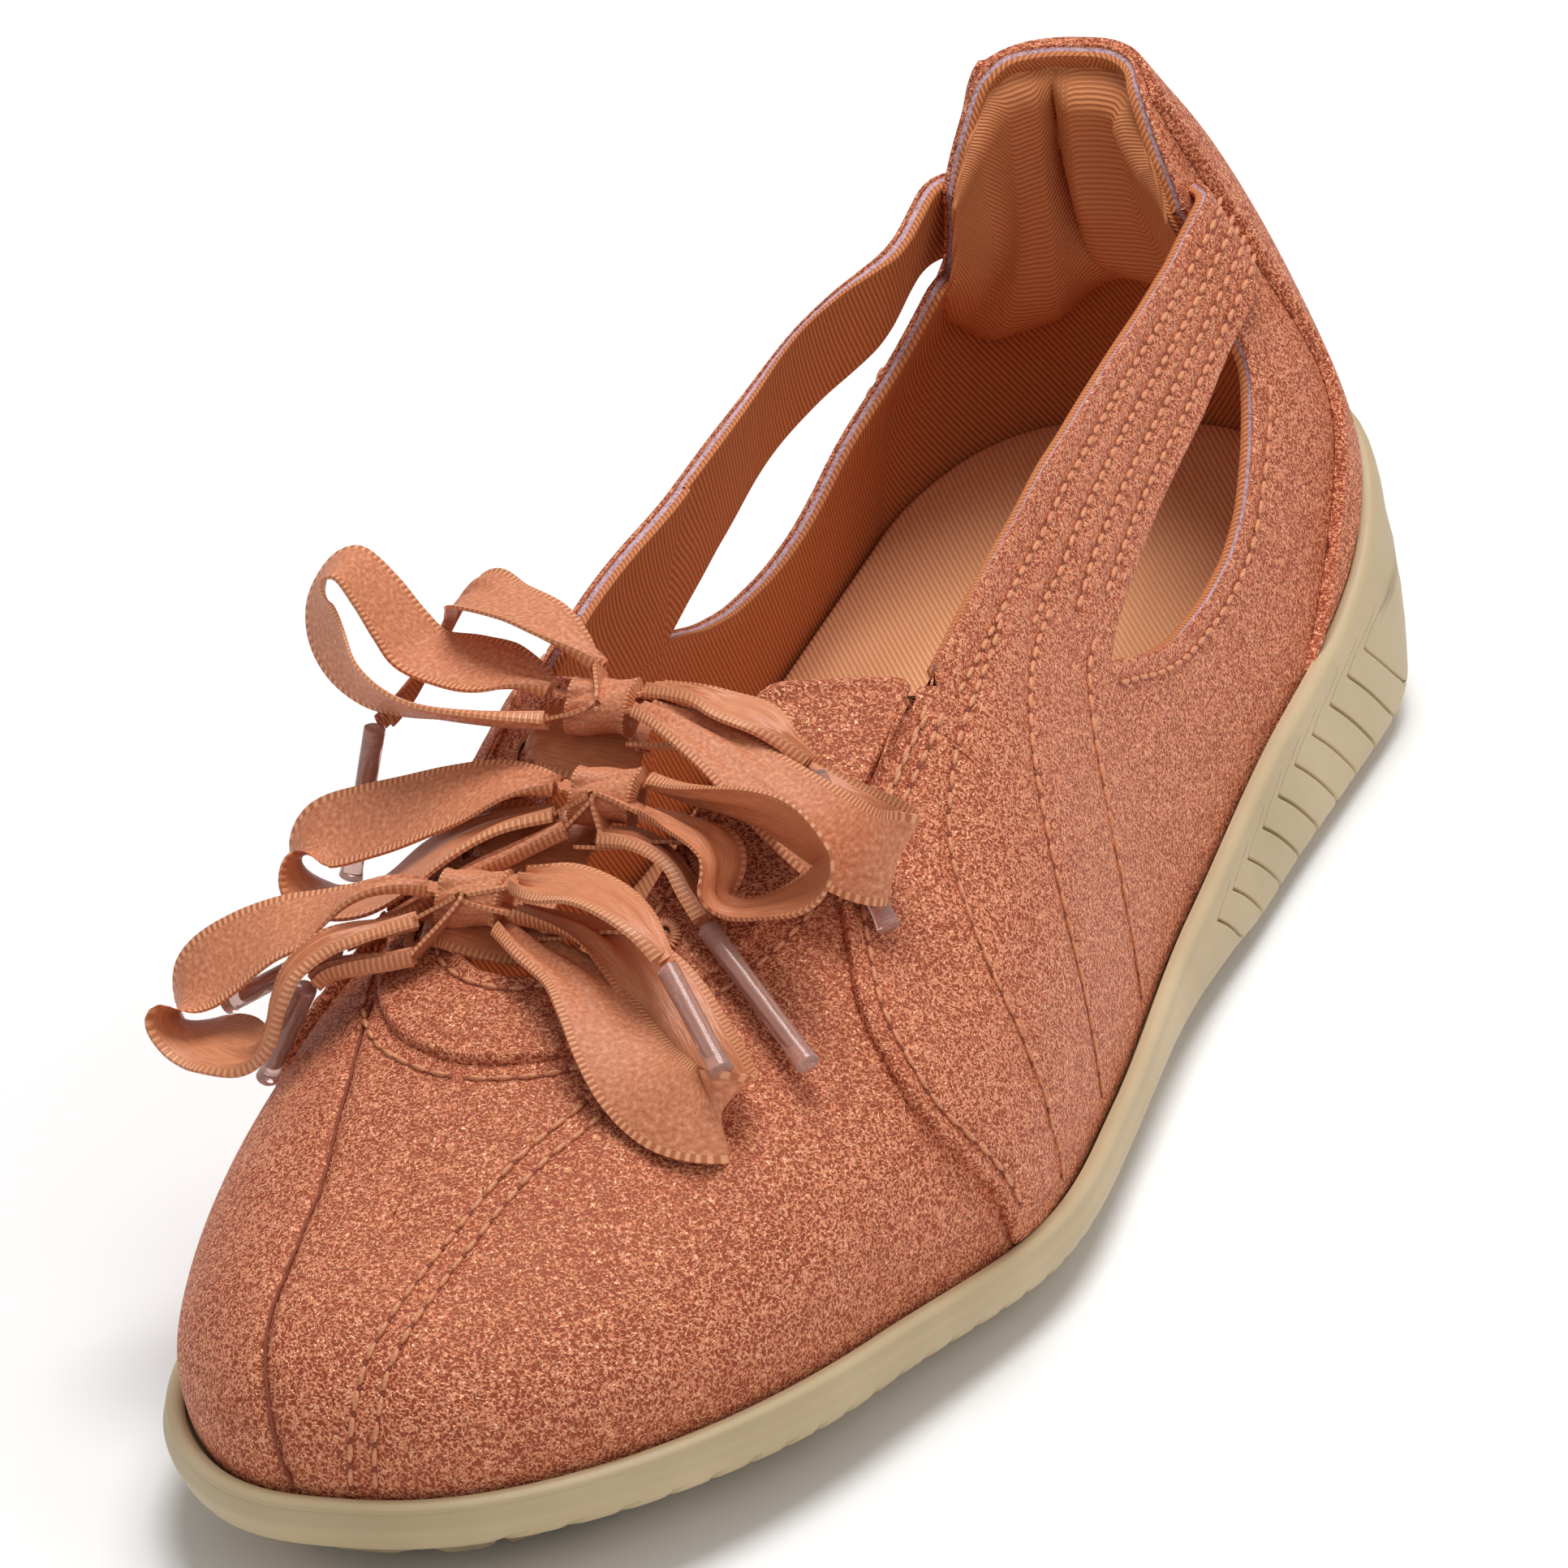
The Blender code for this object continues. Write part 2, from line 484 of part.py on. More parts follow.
def upper(collection, cutters, look):
    u, side = outline()
    rings = [surface(u, np.full(len(u), rise), side) for rise in RISES]
    made = add_object("upper", merge(rings_mesh(rings)), collection, look)
    wall = made.modifiers.new("wall", "SOLIDIFY")
    wall.thickness = WALL * MM
    wall.offset = -1
    wall.use_even_offset = True

    top = 130
    collar = [(-12, top), *HEEL_TAB[:-1], *curve_points(STRAP_TOP, 10), (141, top)]
    cut(made, prism("collar_cut", collar, True, -70, 70, cutters))
    teardrop = [*curve_points(STRAP_BOTTOM, 8), *QUARTER_TOP[1:]]
    cut(made, prism("cut_out_cut", teardrop, True, -70, 70, cutters))
    halves = [(half, place) for place, half in THROAT]
    throat = [(smooth(SECTIONS, MIDDLE, place) + half, place) for half, place in halves]
    throat += [(smooth(SECTIONS, MIDDLE, place) - half, place) for half, place in halves[:0:-1]]
    cut(made, prism("throat_cut", throat, False, 36, top, cutters))
    return made


def insole(collection, look):
    u, side = outline()
    inset = WALL + INSOLE_ROOM
    spine_place = feather(u, side)[1]
    spine = fan(spine_place, SPINE_HEEL, SPINE_TOE, FAN_SOFT)
    middle = smooth(SECTIONS, MIDDLE, spine)
    floor = smooth(SECTIONS, FLOOR, spine)
    bed = BED_DROP - GAP
    foot = offset(u, rise_at(u, side, 0.6), side, -inset)
    shoulder = offset(u, rise_at(u, side, INSOLE_THICK - 0.8), side, -inset)
    rim = offset(u, rise_at(u, side, INSOLE_THICK), side, -inset - 1.2)
    foot[:, 2] = feather(u, side)[2] - bed
    rings = [
        list(zip(middle, spine, floor - bed)),
        foot,
        shoulder,
        rim,
        list(zip(middle, spine, floor + INSOLE_THICK - INSOLE_DISH)),
    ]
    shape = merge(rings_mesh(rings))
    bmesh.ops.recalc_face_normals(shape, faces=shape.faces)
    return add_object("insole", shape, collection, look)


def heel_counter(collection, cutters, look):
    """The overlay round the heel: a band between two forms of the upper, cut to its outline."""
    reach = np.linspace(-COUNTER_REACH, COUNTER_REACH, COUNTER_COLUMNS)
    u, side = np.abs(reach), np.where(reach < 0, -1, 1)
    rises = np.linspace(0.02, COUNTER_RISE, COUNTER_ROWS)
    inner = [offset(u, np.full(len(u), rise), side, np.full(len(u), GAP)) for rise in rises]
    outer = [offset(u, np.full(len(u), rise), side, np.full(len(u), GAP + COUNTER_THICK)) for rise in rises]
    made = slab("heel_counter", outer, inner, collection, look)

    walk = np.linspace(u_at(COUNTER_END), 0.0, 15)
    ones = np.ones(len(walk))
    rim = surface(walk, rise_at(walk, ones, smooth(CUP, 1, feather(walk, ones)[1])), ones)
    lower = [(place, height + LIP_GAP) for _, place, height in rim if place < COUNTER_END]
    edge = [*COUNTER_TOP, *COUNTER_FRONT, *lower, (-12, lower[-1][1])]
    cut(made, prism("counter_cut", edge, True, -60, 60, cutters), "INTERSECT")
    return made


def heel_pad(collection, look):
    """The padded lining inside the heel tab, thickest in its middle."""
    reach = np.linspace(-1, 1, 17)
    rows = np.linspace(0, 1, 9)
    outer, inner = [], []
    for row in rows:
        place = PAD_REACH * np.abs(reach) ** 1.4
        u = u_at(place)
        side = np.where(reach < 0, -1, 1)
        low = PAD_LOW + 4.0 * reach**2
        height = low + (PAD_HIGH - low) * row - feather(u, side)[2]
        rise = rise_at(u, side, height)
        bulge = np.clip((1 - reach**4) * (1 - (2 * row - 1) ** 4), 0, 1)
        lining = WALL + 0.5
        outer.append(offset(u, rise, side, np.full(len(u), -lining)))
        inner.append(offset(u, rise, side, -lining - PAD_EDGE - (PAD_THICK - PAD_EDGE) * bulge))
    return slab("heel_pad", outer, inner, collection, look)


def height_over(across, place):
    """Height of the upper's surface over a point in plan, between the grid's nearest points."""
    u, rise = np.meshgrid(np.linspace(0.4, 0.8, GRID_FINE), np.linspace(0.5, 1, GRID_FINE), indexing="ij")
    side = np.where(across > smooth(SECTIONS, MIDDLE, place), 1.0, -1.0)
    points = surface(u, rise, np.full_like(u, side)).reshape(-1, 3)
    away = np.hypot(points[:, 0] - across, points[:, 1] - place)
    return float(points[np.argmin(away), 2])


def catmull(rows, steps):
    """Every column of a table along the smooth curve through its rows."""
    rows = np.array(rows, float)
    before = np.vstack((2 * rows[0] - rows[1], rows[:-2], rows[-2]))[:-1]
    after = np.vstack((rows[2:], 2 * rows[-1] - rows[-2]))
    made = []
    for low, first, last, high in zip(before, rows[:-1], rows[1:], after):
        for k in range(steps):
            t = k / steps
            made.append(first + 0.5 * t * (last - low + t * (
                2 * low - 5 * first + 4 * last - high + t * (3 * first - low - 3 * last + high))))
    return np.array([*made, rows[-1]])


def ribbon(name, rows, collection, look, steps=2):
    """A flat strip swept along its rows, each section rolled by its turn."""
    rows = catmull(rows, steps)
    path = [at(*row[:3]) for row in rows]
    shape = bmesh.new()
    sections = []
    for k, point in enumerate(path):
        along = (path[min(k + 1, len(path) - 1)] - path[max(k - 1, 0)]).normalized()
        heelward = Vector((0, 1, 0))
        flat = (heelward - along * along.dot(heelward)).normalized()
        turn = math.radians(rows[k, 3])
        wide = flat * math.cos(turn) + along.cross(flat) * math.sin(turn)
        thick = along.cross(wide) * RIBBON_THICK * MM / 2
        wide *= rows[k, 4] * MM / 2
        corners = (point + wide + thick, point - wide + thick, point - wide - thick, point + wide - thick)
        sections.append([shape.verts.new(corner) for corner in corners])
    for low, high in zip(sections, sections[1:]):
        for k in range(4):
            shape.faces.new((low[k], low[(k + 1) % 4], high[(k + 1) % 4], high[k]))
    shape.faces.new(sections[0][::-1])
    shape.faces.new(sections[-1])
    return add_object(name, shape, collection, look)


def lace_bar(bow, collection, look):
    """The lace across the throat from eyelet to eyelet, lying over the edges and sagging between them."""
    place, half, tilt = BARS[bow]
    middle = float(smooth(SECTIONS, MIDDLE, place))
    edge = float(smooth(sorted(THROAT), 1, place)) + 1
    rows = []
    for share in BAR_SHARES:
        out = max(abs(share) * half, edge) * (1 if share > 0 else -1)
        sag = BAR_SAG * max(0, 1 - (share * half / edge) ** 2)
        height = height_over(middle + out, place) + BAR_LIFT - sag
        rows.append((middle + share * half, place, height, tilt, BAR_WIDTH))
    return ribbon(f"lace_bar_{bow}", rows, collection, look)


def knot(bow, collection, look):
    shape = bmesh.new()
    bmesh.ops.create_uvsphere(shape, u_segments=12, v_segments=8, radius=MM)
    bmesh.ops.scale(shape, verts=shape.verts, vec=KNOT_SIZE)
    bmesh.ops.translate(shape, verts=shape.verts, vec=at(*KNOTS[bow]))
    return add_object(f"bow_{bow}_knot", shape, collection, look)


def aglet(name, ends, collection, look):
    start, end = (at(*point) for point in ends)
    shape = bmesh.new()
    radius = AGLET_RADIUS * MM
    bmesh.ops.create_cone(
        shape, cap_ends=True, segments=10, radius1=radius, radius2=radius, depth=(end - start).length
    )
    bmesh.ops.rotate(shape, verts=shape.verts, matrix=(end - start).to_track_quat("Z", "Y").to_matrix())
    bmesh.ops.translate(shape, verts=shape.verts, vec=(start + end) / 2)
    return add_object(name, shape, collection, look)


def main():
    for old in list(bpy.data.objects):
        bpy.data.objects.remove(old)
    shoe = bpy.data.collections.new("ballet_sneaker")
    cutters = bpy.data.collections.new("cutters")
    bpy.context.scene.collection.children.link(shoe)
    bpy.context.scene.collection.children.link(cutters)

    textile = material("crinkled metallic textile", (0.58, 0.20, 0.13), 0.5, 0.3)
    rubber = material("gum rubber", (0.52, 0.40, 0.24), 0.6)
    lining = material("twill lining", (0.53, 0.25, 0.13), 0.8)
    satin = material("satin ribbon", (0.60, 0.24, 0.13), 0.4)
    plastic = material("clear aglet plastic", (0.70, 0.40, 0.32), 0.2)

    outsole(shoe, cutters, rubber)
    upper(shoe, cutters, textile)
    insole(shoe, lining)
    heel_counter(shoe, cutters, textile)
    heel_pad(shoe, lining)
    for bow in KNOTS:
        lace_bar(bow, shoe, satin)
        knot(bow, shoe, satin)
    for name, rows in RIBBONS.items():
        ribbon(name, rows, shoe, satin)
    for name, ends in AGLETS.items():
        aglet(name, ends, shoe, plastic)


main()
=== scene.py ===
"""Ballet sneaker, left shoe: finished textile, rubber, linings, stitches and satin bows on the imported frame.

Lengths below are millimetres on three coordinates: across (lateral positive), place (measured along the
foot from the back of the heel) and height. metres() turns them into metres in the frame's own axes.
The last's surface is walked by u (heel to toe), rise (feather edge to ridge) and side (1 lateral, -1 medial).
"""

import math

import bmesh
import bpy
import numpy as np
from mathutils import Matrix, Vector
from mathutils.bvhtree import BVHTree
from mathutils.kdtree import KDTree


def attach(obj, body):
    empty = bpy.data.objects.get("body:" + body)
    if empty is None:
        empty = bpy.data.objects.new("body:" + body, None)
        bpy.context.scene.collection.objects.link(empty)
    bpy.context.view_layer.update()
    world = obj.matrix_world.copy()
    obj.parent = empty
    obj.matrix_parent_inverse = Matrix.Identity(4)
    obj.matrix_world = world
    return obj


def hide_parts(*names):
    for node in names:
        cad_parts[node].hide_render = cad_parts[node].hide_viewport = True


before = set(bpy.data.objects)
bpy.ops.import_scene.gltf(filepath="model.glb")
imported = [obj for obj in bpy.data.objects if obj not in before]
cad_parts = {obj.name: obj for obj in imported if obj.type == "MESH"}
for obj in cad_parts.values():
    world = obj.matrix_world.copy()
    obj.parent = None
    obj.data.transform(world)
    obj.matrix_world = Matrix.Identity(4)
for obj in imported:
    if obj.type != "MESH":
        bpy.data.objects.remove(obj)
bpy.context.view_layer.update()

MM = 0.001
LENGTH = 246.0          # feather edge, heel to toe
WALL = 2.2              # upper's wall: textile, foam and lining
CUP_GAP = 0.4           # room between the upper and the rubber that wraps it
CENTRE_PLACE = 122.9    # the origin's place along the shoe
CENTRE_ACROSS = 2.2     # the origin's place across the shoe

SECTIONS = (
    # place middle lateral medial floor full swell
    (0, 2.0, 28.0, 27.5, 23.5, 1.75, 3.2),
    (15, 2.0, 32.0, 28.5, 21.5, 1.4, 2.2),
    (30, 2.0, 33.5, 30.5, 19.5, 1.32, 0.0),
    (60, 2.0, 33.5, 31.5, 16.5, 1.4, -1.5),
    (100, 1.0, 36.0, 32.5, 11.0, 1.6, -0.5),
    (140, -1.5, 43.0, 34.5, 8.2, 2.2, 1.5),
    (170, -6.0, 49.5, 33.0, 9.2, 2.3, 2.5),
    (200, -8.5, 44.5, 30.0, 11.5, 2.4, 2.8),
    (225, -8.8, 38.7, 29.0, 13.0, 2.1, 2.7),
    (246, -9.0, 32.0, 25.0, 14.0, 2.0, 2.0),
)
MIDDLE, LATERAL, MEDIAL, FLOOR, FULL, SWELL = range(1, 7)
RIDGE = (
    # place height
    (30, 99.0), (80, 98.0), (110, 83.0), (140, 65.5), (165, 51.5), (185, 44.8), (205, 39.4), (222, 34.0),
)
HEEL_ROUND, HEEL_POWER = 30.0, 2.5
TOE_ROUND, TOE_POWER = 58.0, 2.6
FAN_HEEL, FAN_TOE, FAN_SOFT = 30.0, LENGTH - 24.0, 12.0

SOLE = (
    # place outset flare bottom corner tuck
    (0, 3.0, -1.2, 6.5, 5.0, 6.0),
    (10, 3.2, -0.4, 3.8, 4.6, 5.5),
    (22, 3.2, 0.3, 1.0, 4.0, 5.0),
    (36, 3.0, 0.8, 0.0, 3.4, 5.0),
    (80, 2.8, 1.0, 0.0, 3.4, 6.0),
    (96, 2.7, 0.6, 1.0, 3.4, 7.0),
    (118, 2.6, 0.2, 1.7, 3.6, 7.0),
    (138, 2.6, 0.0, 1.0, 3.8, 7.0),
    (152, 2.7, 0.0, 0.0, 5.2, 8.6),
    (170, 2.7, 0.0, 0.0, 6.0, 10.0),
    (204, 2.7, 0.0, 0.0, 8.5, 15.0),
    (222, 2.8, 0.0, 1.2, 8.4, 15.0),
    (236, 2.9, -0.2, 3.2, 7.1, 12.4),
    (250, 3.0, -0.4, 6.0, 4.8, 8.0),
)
OUTSET, FLARE, BOTTOM, CORNER, TUCK = range(1, 6)
CUP = (
    # place lip
    (0, 11.4), (10, 11.2), (19, 8.8), (27, 5.2), (33, 2.9), (42, 1.3), (56, 0.8), (246, 0.8),
)
CUP_WALL = 2.6
BED_DROP = 1.2
SPINE_HEEL, SPINE_TOE = 28.0, LENGTH - 26.0

# Edges seen from the side (place, height) and from above (place, half width from the middle line).
STRAP_TOP = (
    # place height
    (16.0, 69.8), (26.1, 68.8), (40.2, 65.9), (64.3, 64.9), (88.1, 64.3), (104.0, 62.2), (121.3, 61.2),
    (134.6, 58.9), (141.0, 57.0),
)
STRAP_BOTTOM = (
    # place height
    (16.0, 58.8), (26.8, 56.8), (34.3, 54.7), (43.4, 52.8), (53.1, 51.2), (73.3, 48.7), (91.9, 45.4),
    (99.0, 42.6),
)
QUARTER_TOP = (
    # place height
    (-12.0, 57.5), (29.2, 57.5), (29.9, 55.5), (30.2, 52.9), (31.5, 49.9), (34.5, 47.2), (39.6, 44.0),
    (44.2, 41.4), (50.0, 38.3), (57.9, 36.0), (65.9, 35.3), (74.9, 35.7), (83.9, 37.5), (94.5, 41.3),
    (99.0, 42.6), (140.0, 37.0), (185.0, 29.0), (220.0, 25.0), (260.0, 22.0),
)
TIP_PLACE = 99.0         # where the side window closes to a point
TAB_FRONT = (
    # height place
    (50.0, 22.6), (57.5, 23.6), (67.2, 25.4), (72.0, 26.8), (75.6, 27.6), (77.8, 27.2),
)
TAB_LOW, TAB_HIGH, TAB_FALL = 57.5, 81.4, 13.0
TAB_FLAT = 0.36          # share of the tab's half width that its top edge crosses before it falls
TAB_MOST_U = 0.34        # u that the tab's front edge never reaches
THROAT = (
    # place half
    (132.0, 28.0), (137.2, 24.8), (138.4, 22.4), (142.1, 16.8), (144.6, 11.6), (146.4, 10.4), (160.0, 9.9),
    (174.0, 9.6), (179.4, 8.8), (182.8, 6.6), (184.8, 3.4), (185.4, 0.0),
)
STRAP_ENDS, THROAT_STARTS = 140.0, 134.0   # places between which the collar's two edges overlap
SWELL_END = 1.15         # the swell fades out at one over this rise
MOST_RISE = 0.9995       # past this rise a point lies on the ridge, where both sides meet
EDGE_HALVINGS, PLACE_HALVINGS = 26, 24
LOCATE_STEPS = 30
LOCATE_U, LOCATE_RISE = 0.08, 0.15         # most that one step of locate moves u and rise
FIRST_RISE = {0: 0.75, 2: 0.4}             # where locate starts, for an across and for a height


# ---------------------------------------------------------------- the last's surface

def smooth(rows, column, x):
    """One column of a table at x, on a cubic through the rows that never overshoots."""
    xs = np.array([row[0] for row in rows], float)
    ys = np.array([row[column] for row in rows], float)
    step = np.diff(xs)
    slope = np.diff(ys) / step
    tangent = np.empty(len(xs))
    tangent[0], tangent[-1] = slope[0], slope[-1]
    near = 2 * step[1:] + step[:-1]
    far = step[1:] + 2 * step[:-1]
    same = slope[:-1] * slope[1:] > 0
    safe_before = np.where(same, slope[:-1], 1)
    safe_after = np.where(same, slope[1:], 1)
    tangent[1:-1] = np.where(same, (near + far) / (near / safe_before + far / safe_after), 0)
    x = np.clip(np.asarray(x, float), xs[0], xs[-1])
    i = np.clip(np.searchsorted(xs, x, side="right") - 1, 0, len(xs) - 2)
    t = (x - xs[i]) / step[i]
    start = (2 * t**3 - 3 * t**2 + 1) * ys[i] + (t**3 - 2 * t**2 + t) * step[i] * tangent[i]
    end = (3 * t**2 - 2 * t**3) * ys[i + 1] + (t**3 - t**2) * step[i] * tangent[i + 1]
    return start + end


def ease(x, low, high):
    """Rises smoothly from 0 at low to 1 at high."""
    t = np.clip((np.asarray(x, float) - low) / (high - low), 0, 1)
    return t * t * (3 - 2 * t)


def bell(x, centre, width):
    return np.exp(-((x - centre) / width) ** 2)


def quarter_round(x, width):
    """Rises from 0 at x = 0 to 1 at width, along a quarter circle."""
    return np.sqrt(np.clip(1 - (1 - np.clip(x / width, 0, 1)) ** 2, 0, 1))


def unit(vectors):
    return vectors / (np.linalg.norm(vectors, axis=-1, keepdims=True) + 1e-12)


def sided(u, side):
    return np.full(np.shape(u), float(side))


def rounding(place):
    """How much of the half width is left where the outline rounds off at the heel and the toe."""
    heel = np.clip(1 - place / HEEL_ROUND, 0, 1)
    toe = np.clip((place - (LENGTH - TOE_ROUND)) / TOE_ROUND, 0, 1)
    return (1 - heel**HEEL_POWER) ** (1 / HEEL_POWER) * (1 - toe**TOE_POWER) ** (1 / TOE_POWER)


def feather(u, side):
    """The feather edge: u runs 0 at the heel to 1 at the toe, side is 1 lateral and -1 medial."""
    place = LENGTH * (1 - np.cos(np.pi * u)) / 2
    half = np.where(side > 0, smooth(SECTIONS, LATERAL, place), smooth(SECTIONS, MEDIAL, place))
    across = middle_at(place) + side * half * rounding(place)
    return across, place, smooth(SECTIONS, FLOOR, place)


def u_at(place):
    return np.arccos(1 - 2 * np.clip(np.asarray(place, float), 0, LENGTH) / LENGTH) / np.pi


def fan(place, low, high, soft):
    """The place on a middle line that a rib runs to: its own, gathered in at both ends."""
    place = low + soft * np.logaddexp(0, (place - low) / soft)
    place = high - soft * np.logaddexp(0, (high - place) / soft)
    return np.clip(place, low, high)


def surface(u, rise, side):
    """The upper's outer surface: rise runs 0 at the feather edge to 1 at the ridge."""
    across, place, floor = feather(u, side)
    root = fan(place, FAN_HEEL, FAN_TOE, FAN_SOFT)
    root_across = middle_at(root)
    full = smooth(SECTIONS, FULL, place)
    angle = rise * np.pi / 2
    out = np.cos(angle) ** (2 / full)
    up = np.sin(angle) ** (2 / full)
    to_side = across - root_across
    to_end = place - root
    reach = np.hypot(to_side, to_end) + 1e-9
    swell = smooth(SECTIONS, SWELL, place) * np.sin(np.pi * np.clip(rise * SWELL_END, 0, 1))
    swell = swell * np.sqrt(1 - rise)
    return np.stack((
        root_across + to_side * (out + swell / reach),
        root + to_end * (out + swell / reach),
        floor + (smooth(RIDGE, 1, root) - floor) * up,
    ), -1)


def normals(u, rise, side):
    step = 1e-3
    low = np.clip(rise - step, 0, 1)
    high = np.clip(rise + step, 0, 1)
    up = surface(u, high, side) - surface(u, low, side)
    behind = surface(np.abs(u - step), rise, np.where(u < step, -side, side))
    over = u + step > 1
    ahead = surface(np.where(over, 2 - u - step, u + step), rise, np.where(over, -side, side))
    normal = np.cross(ahead - behind, up) * np.asarray(side)[..., None]
    return unit(normal)


def offset(u, rise, side, distance):
    """The surface moved along its own normal, outwards for a positive distance."""
    u, rise, side, distance = np.broadcast_arrays(*(np.asarray(v, float) for v in (u, rise, side, distance)))
    normal = normals(u, rise, side)
    joint = (rise > MOST_RISE)[..., None]
    normal = np.where(joint, unit(normal + normals(u, rise, -side)), normal)
    return surface(u, rise, side) + normal * distance[..., None]


def rise_at(u, side, height):
    """The rise at which the surface reaches this much above the feather edge."""
    _, place, floor = feather(u, side)
    ridge = smooth(RIDGE, 1, fan(place, FAN_HEEL, FAN_TOE, FAN_SOFT))
    share = np.clip(height / (ridge - floor), 0, 1)
    return np.arcsin(share ** (smooth(SECTIONS, FULL, place) / 2)) * 2 / np.pi


def edge_rise(u, side, rule, low=0.02, high=1.0):
    """The rise where a rule of the surface's points turns from positive to negative, on each station."""
    u = np.asarray(u, float)
    low, high, side = np.full(u.shape, low), np.full(u.shape, high), sided(u, side)
    whole = rule(surface(u, high, side)) >= 0
    for _ in range(EDGE_HALVINGS):
        middle = (low + high) / 2
        inside = rule(surface(u, middle, side)) >= 0
        low, high = np.where(inside, middle, low), np.where(inside, high, middle)
    return np.where(whole, 1.0, (low + high) / 2)


def locate(side, place, other, axis):
    """u and rise of the surface's points at a place and, for axis 0 or 2, at an across or a height."""
    place, other = np.broadcast_arrays(np.asarray(place, float), np.asarray(other, float))
    side = sided(place, side)
    u = u_at(place)
    rise = np.full(place.shape, FIRST_RISE[axis])
    step = 1e-4
    for _ in range(LOCATE_STEPS):
        here = surface(u, rise, side)
        du = (surface(u + step, rise, side) - here) / step
        dr = (surface(u, rise + step, side) - here) / step
        miss_place, miss_other = place - here[..., 1], other - here[..., axis]
        a, b, c, d = du[..., 1], dr[..., 1], du[..., axis], dr[..., axis]
        det = a * d - b * c
        det = np.where(np.abs(det) < 1e-6, 1e-6, det)
        u_step = np.clip((d * miss_place - b * miss_other) / det, -LOCATE_U, LOCATE_U)
        rise_step = np.clip((a * miss_other - c * miss_place) / det, -LOCATE_RISE, LOCATE_RISE)
        u, rise = np.clip(u + u_step, 0.0, MOST_RISE), np.clip(rise + rise_step, 0.0, MOST_RISE)
    return u, rise


def place_u(side, height, rows, most):
    """u, up to most, where the surface at each height reaches the place that the rows give."""
    height = np.asarray(height, float)
    low, high, sides = np.zeros(height.shape), np.full(height.shape, most), sided(height, side)
    target = smooth(rows, 1, height)
    for _ in range(PLACE_HALVINGS):
        middle = (low + high) / 2
        above = np.maximum(height - feather(middle, sides)[2], 0)
        ahead = surface(middle, rise_at(middle, sides, above), sides)[:, 1] > target
        low, high = np.where(ahead, low, middle), np.where(ahead, middle, high)
    return (low + high) / 2


def metres(points):
    """An array of across, place, height in millimetres, turned into the frame's metres."""
    points = np.asarray(points, float)
    made = np.empty_like(points)
    made[..., 0] = (points[..., 0] - CENTRE_ACROSS) * MM
    made[..., 1] = (CENTRE_PLACE - points[..., 1]) * MM
    made[..., 2] = points[..., 2] * MM
    return made


def middle_at(place):
    return smooth(SECTIONS, MIDDLE, place)


# ---------------------------------------------------------------- meshes

SHARP_ANGLE = math.radians(50)


WHOLE = slice(None)
GRID_EDGES = (
    # the four edges of a grid, and whether the strip that closes each one faces the other way
    ((0, WHOLE), True), ((-1, WHOLE), False), ((WHOLE, 0), False), ((WHOLE, -1), True),
)


class Shell:
    """Gathers grids of points into one mesh, each grid with its material slot and its map in metres."""

    def __init__(self):
        self.points, self.maps, self.faces, self.slots, self.count = [], [], [], [], 0

    def grid(self, points, slot, chart=None, flip=False, round_columns=False):
        rows, columns = points.shape[:2]
        if chart is None:
            chart = run_chart(points)
        index = self.count + np.arange(rows * columns).reshape(rows, columns)
        if round_columns:
            index = np.concatenate((index, index[:, :1]), 1)
        quads = np.stack((index[:-1, :-1], index[:-1, 1:], index[1:, 1:], index[1:, :-1]), -1).reshape(-1, 4)
        self.faces.append(quads[:, ::-1] if flip else quads)
        self.slots.append(np.full(len(quads), slot, np.int32))
        self.points.append(points.reshape(-1, 3))
        self.maps.append(chart.reshape(-1, 2))
        self.count += rows * columns

    def make(self, name, looks, join=0.01):
        points = metres(np.concatenate(self.points))
        faces = np.concatenate(self.faces)
        chart = np.concatenate(self.maps) * MM
        mesh = bpy.data.meshes.new(name)
        mesh.from_pydata(points.tolist(), [], faces.tolist())
        mesh.polygons.foreach_set("material_index", np.concatenate(self.slots))
        layer = mesh.uv_layers.new(name="cloth")
        layer.data.foreach_set("uv", chart[faces.reshape(-1)].reshape(-1).astype(np.float32))
        for look in looks:
            mesh.materials.append(look)
        made = bpy.data.objects.new(name, mesh)
        bpy.context.scene.collection.objects.link(made)
        if join:
            merge(mesh, join * MM)
        mesh.shade_smooth()
        mesh.set_sharp_from_angle(angle=SHARP_ANGLE)
        return made


def run_chart(points):
    """Lengths along the rows and the columns of a grid, in millimetres."""
    along = np.linalg.norm(np.diff(points, axis=1), axis=-1).mean(0)
    up = np.linalg.norm(np.diff(points, axis=0), axis=-1)
    chart = np.zeros(points.shape[:2] + (2,))
    chart[:, 1:, 0] = np.cumsum(along)
    chart[1:, :, 1] = np.cumsum(up, 0)
    return chart


def merge(mesh, distance):
    shape = bmesh.new()
    shape.from_mesh(mesh)
    bmesh.ops.remove_doubles(shape, verts=shape.verts, dist=distance)
    bmesh.ops.dissolve_degenerate(shape, edges=shape.edges, dist=distance / 4)
    shape.to_mesh(mesh)
    shape.free()


def catmull(rows, steps):
    """Every column of a table along the smooth curve through its rows."""
    rows = np.array(rows, float)
    before = np.vstack((2 * rows[0] - rows[1], rows[:-1]))[:-1]
    after = np.vstack((rows[2:], 2 * rows[-1] - rows[-2]))
    made = []
    for low, first, last, high in zip(before, rows[:-1], rows[1:], after):
        for k in range(steps):
            t = k / steps
            made.append(first + 0.5 * t * (last - low + t * (
                2 * low - 5 * first + 4 * last - high + t * (3 * first - low - 3 * last + high))))
    return np.array([*made, rows[-1]])


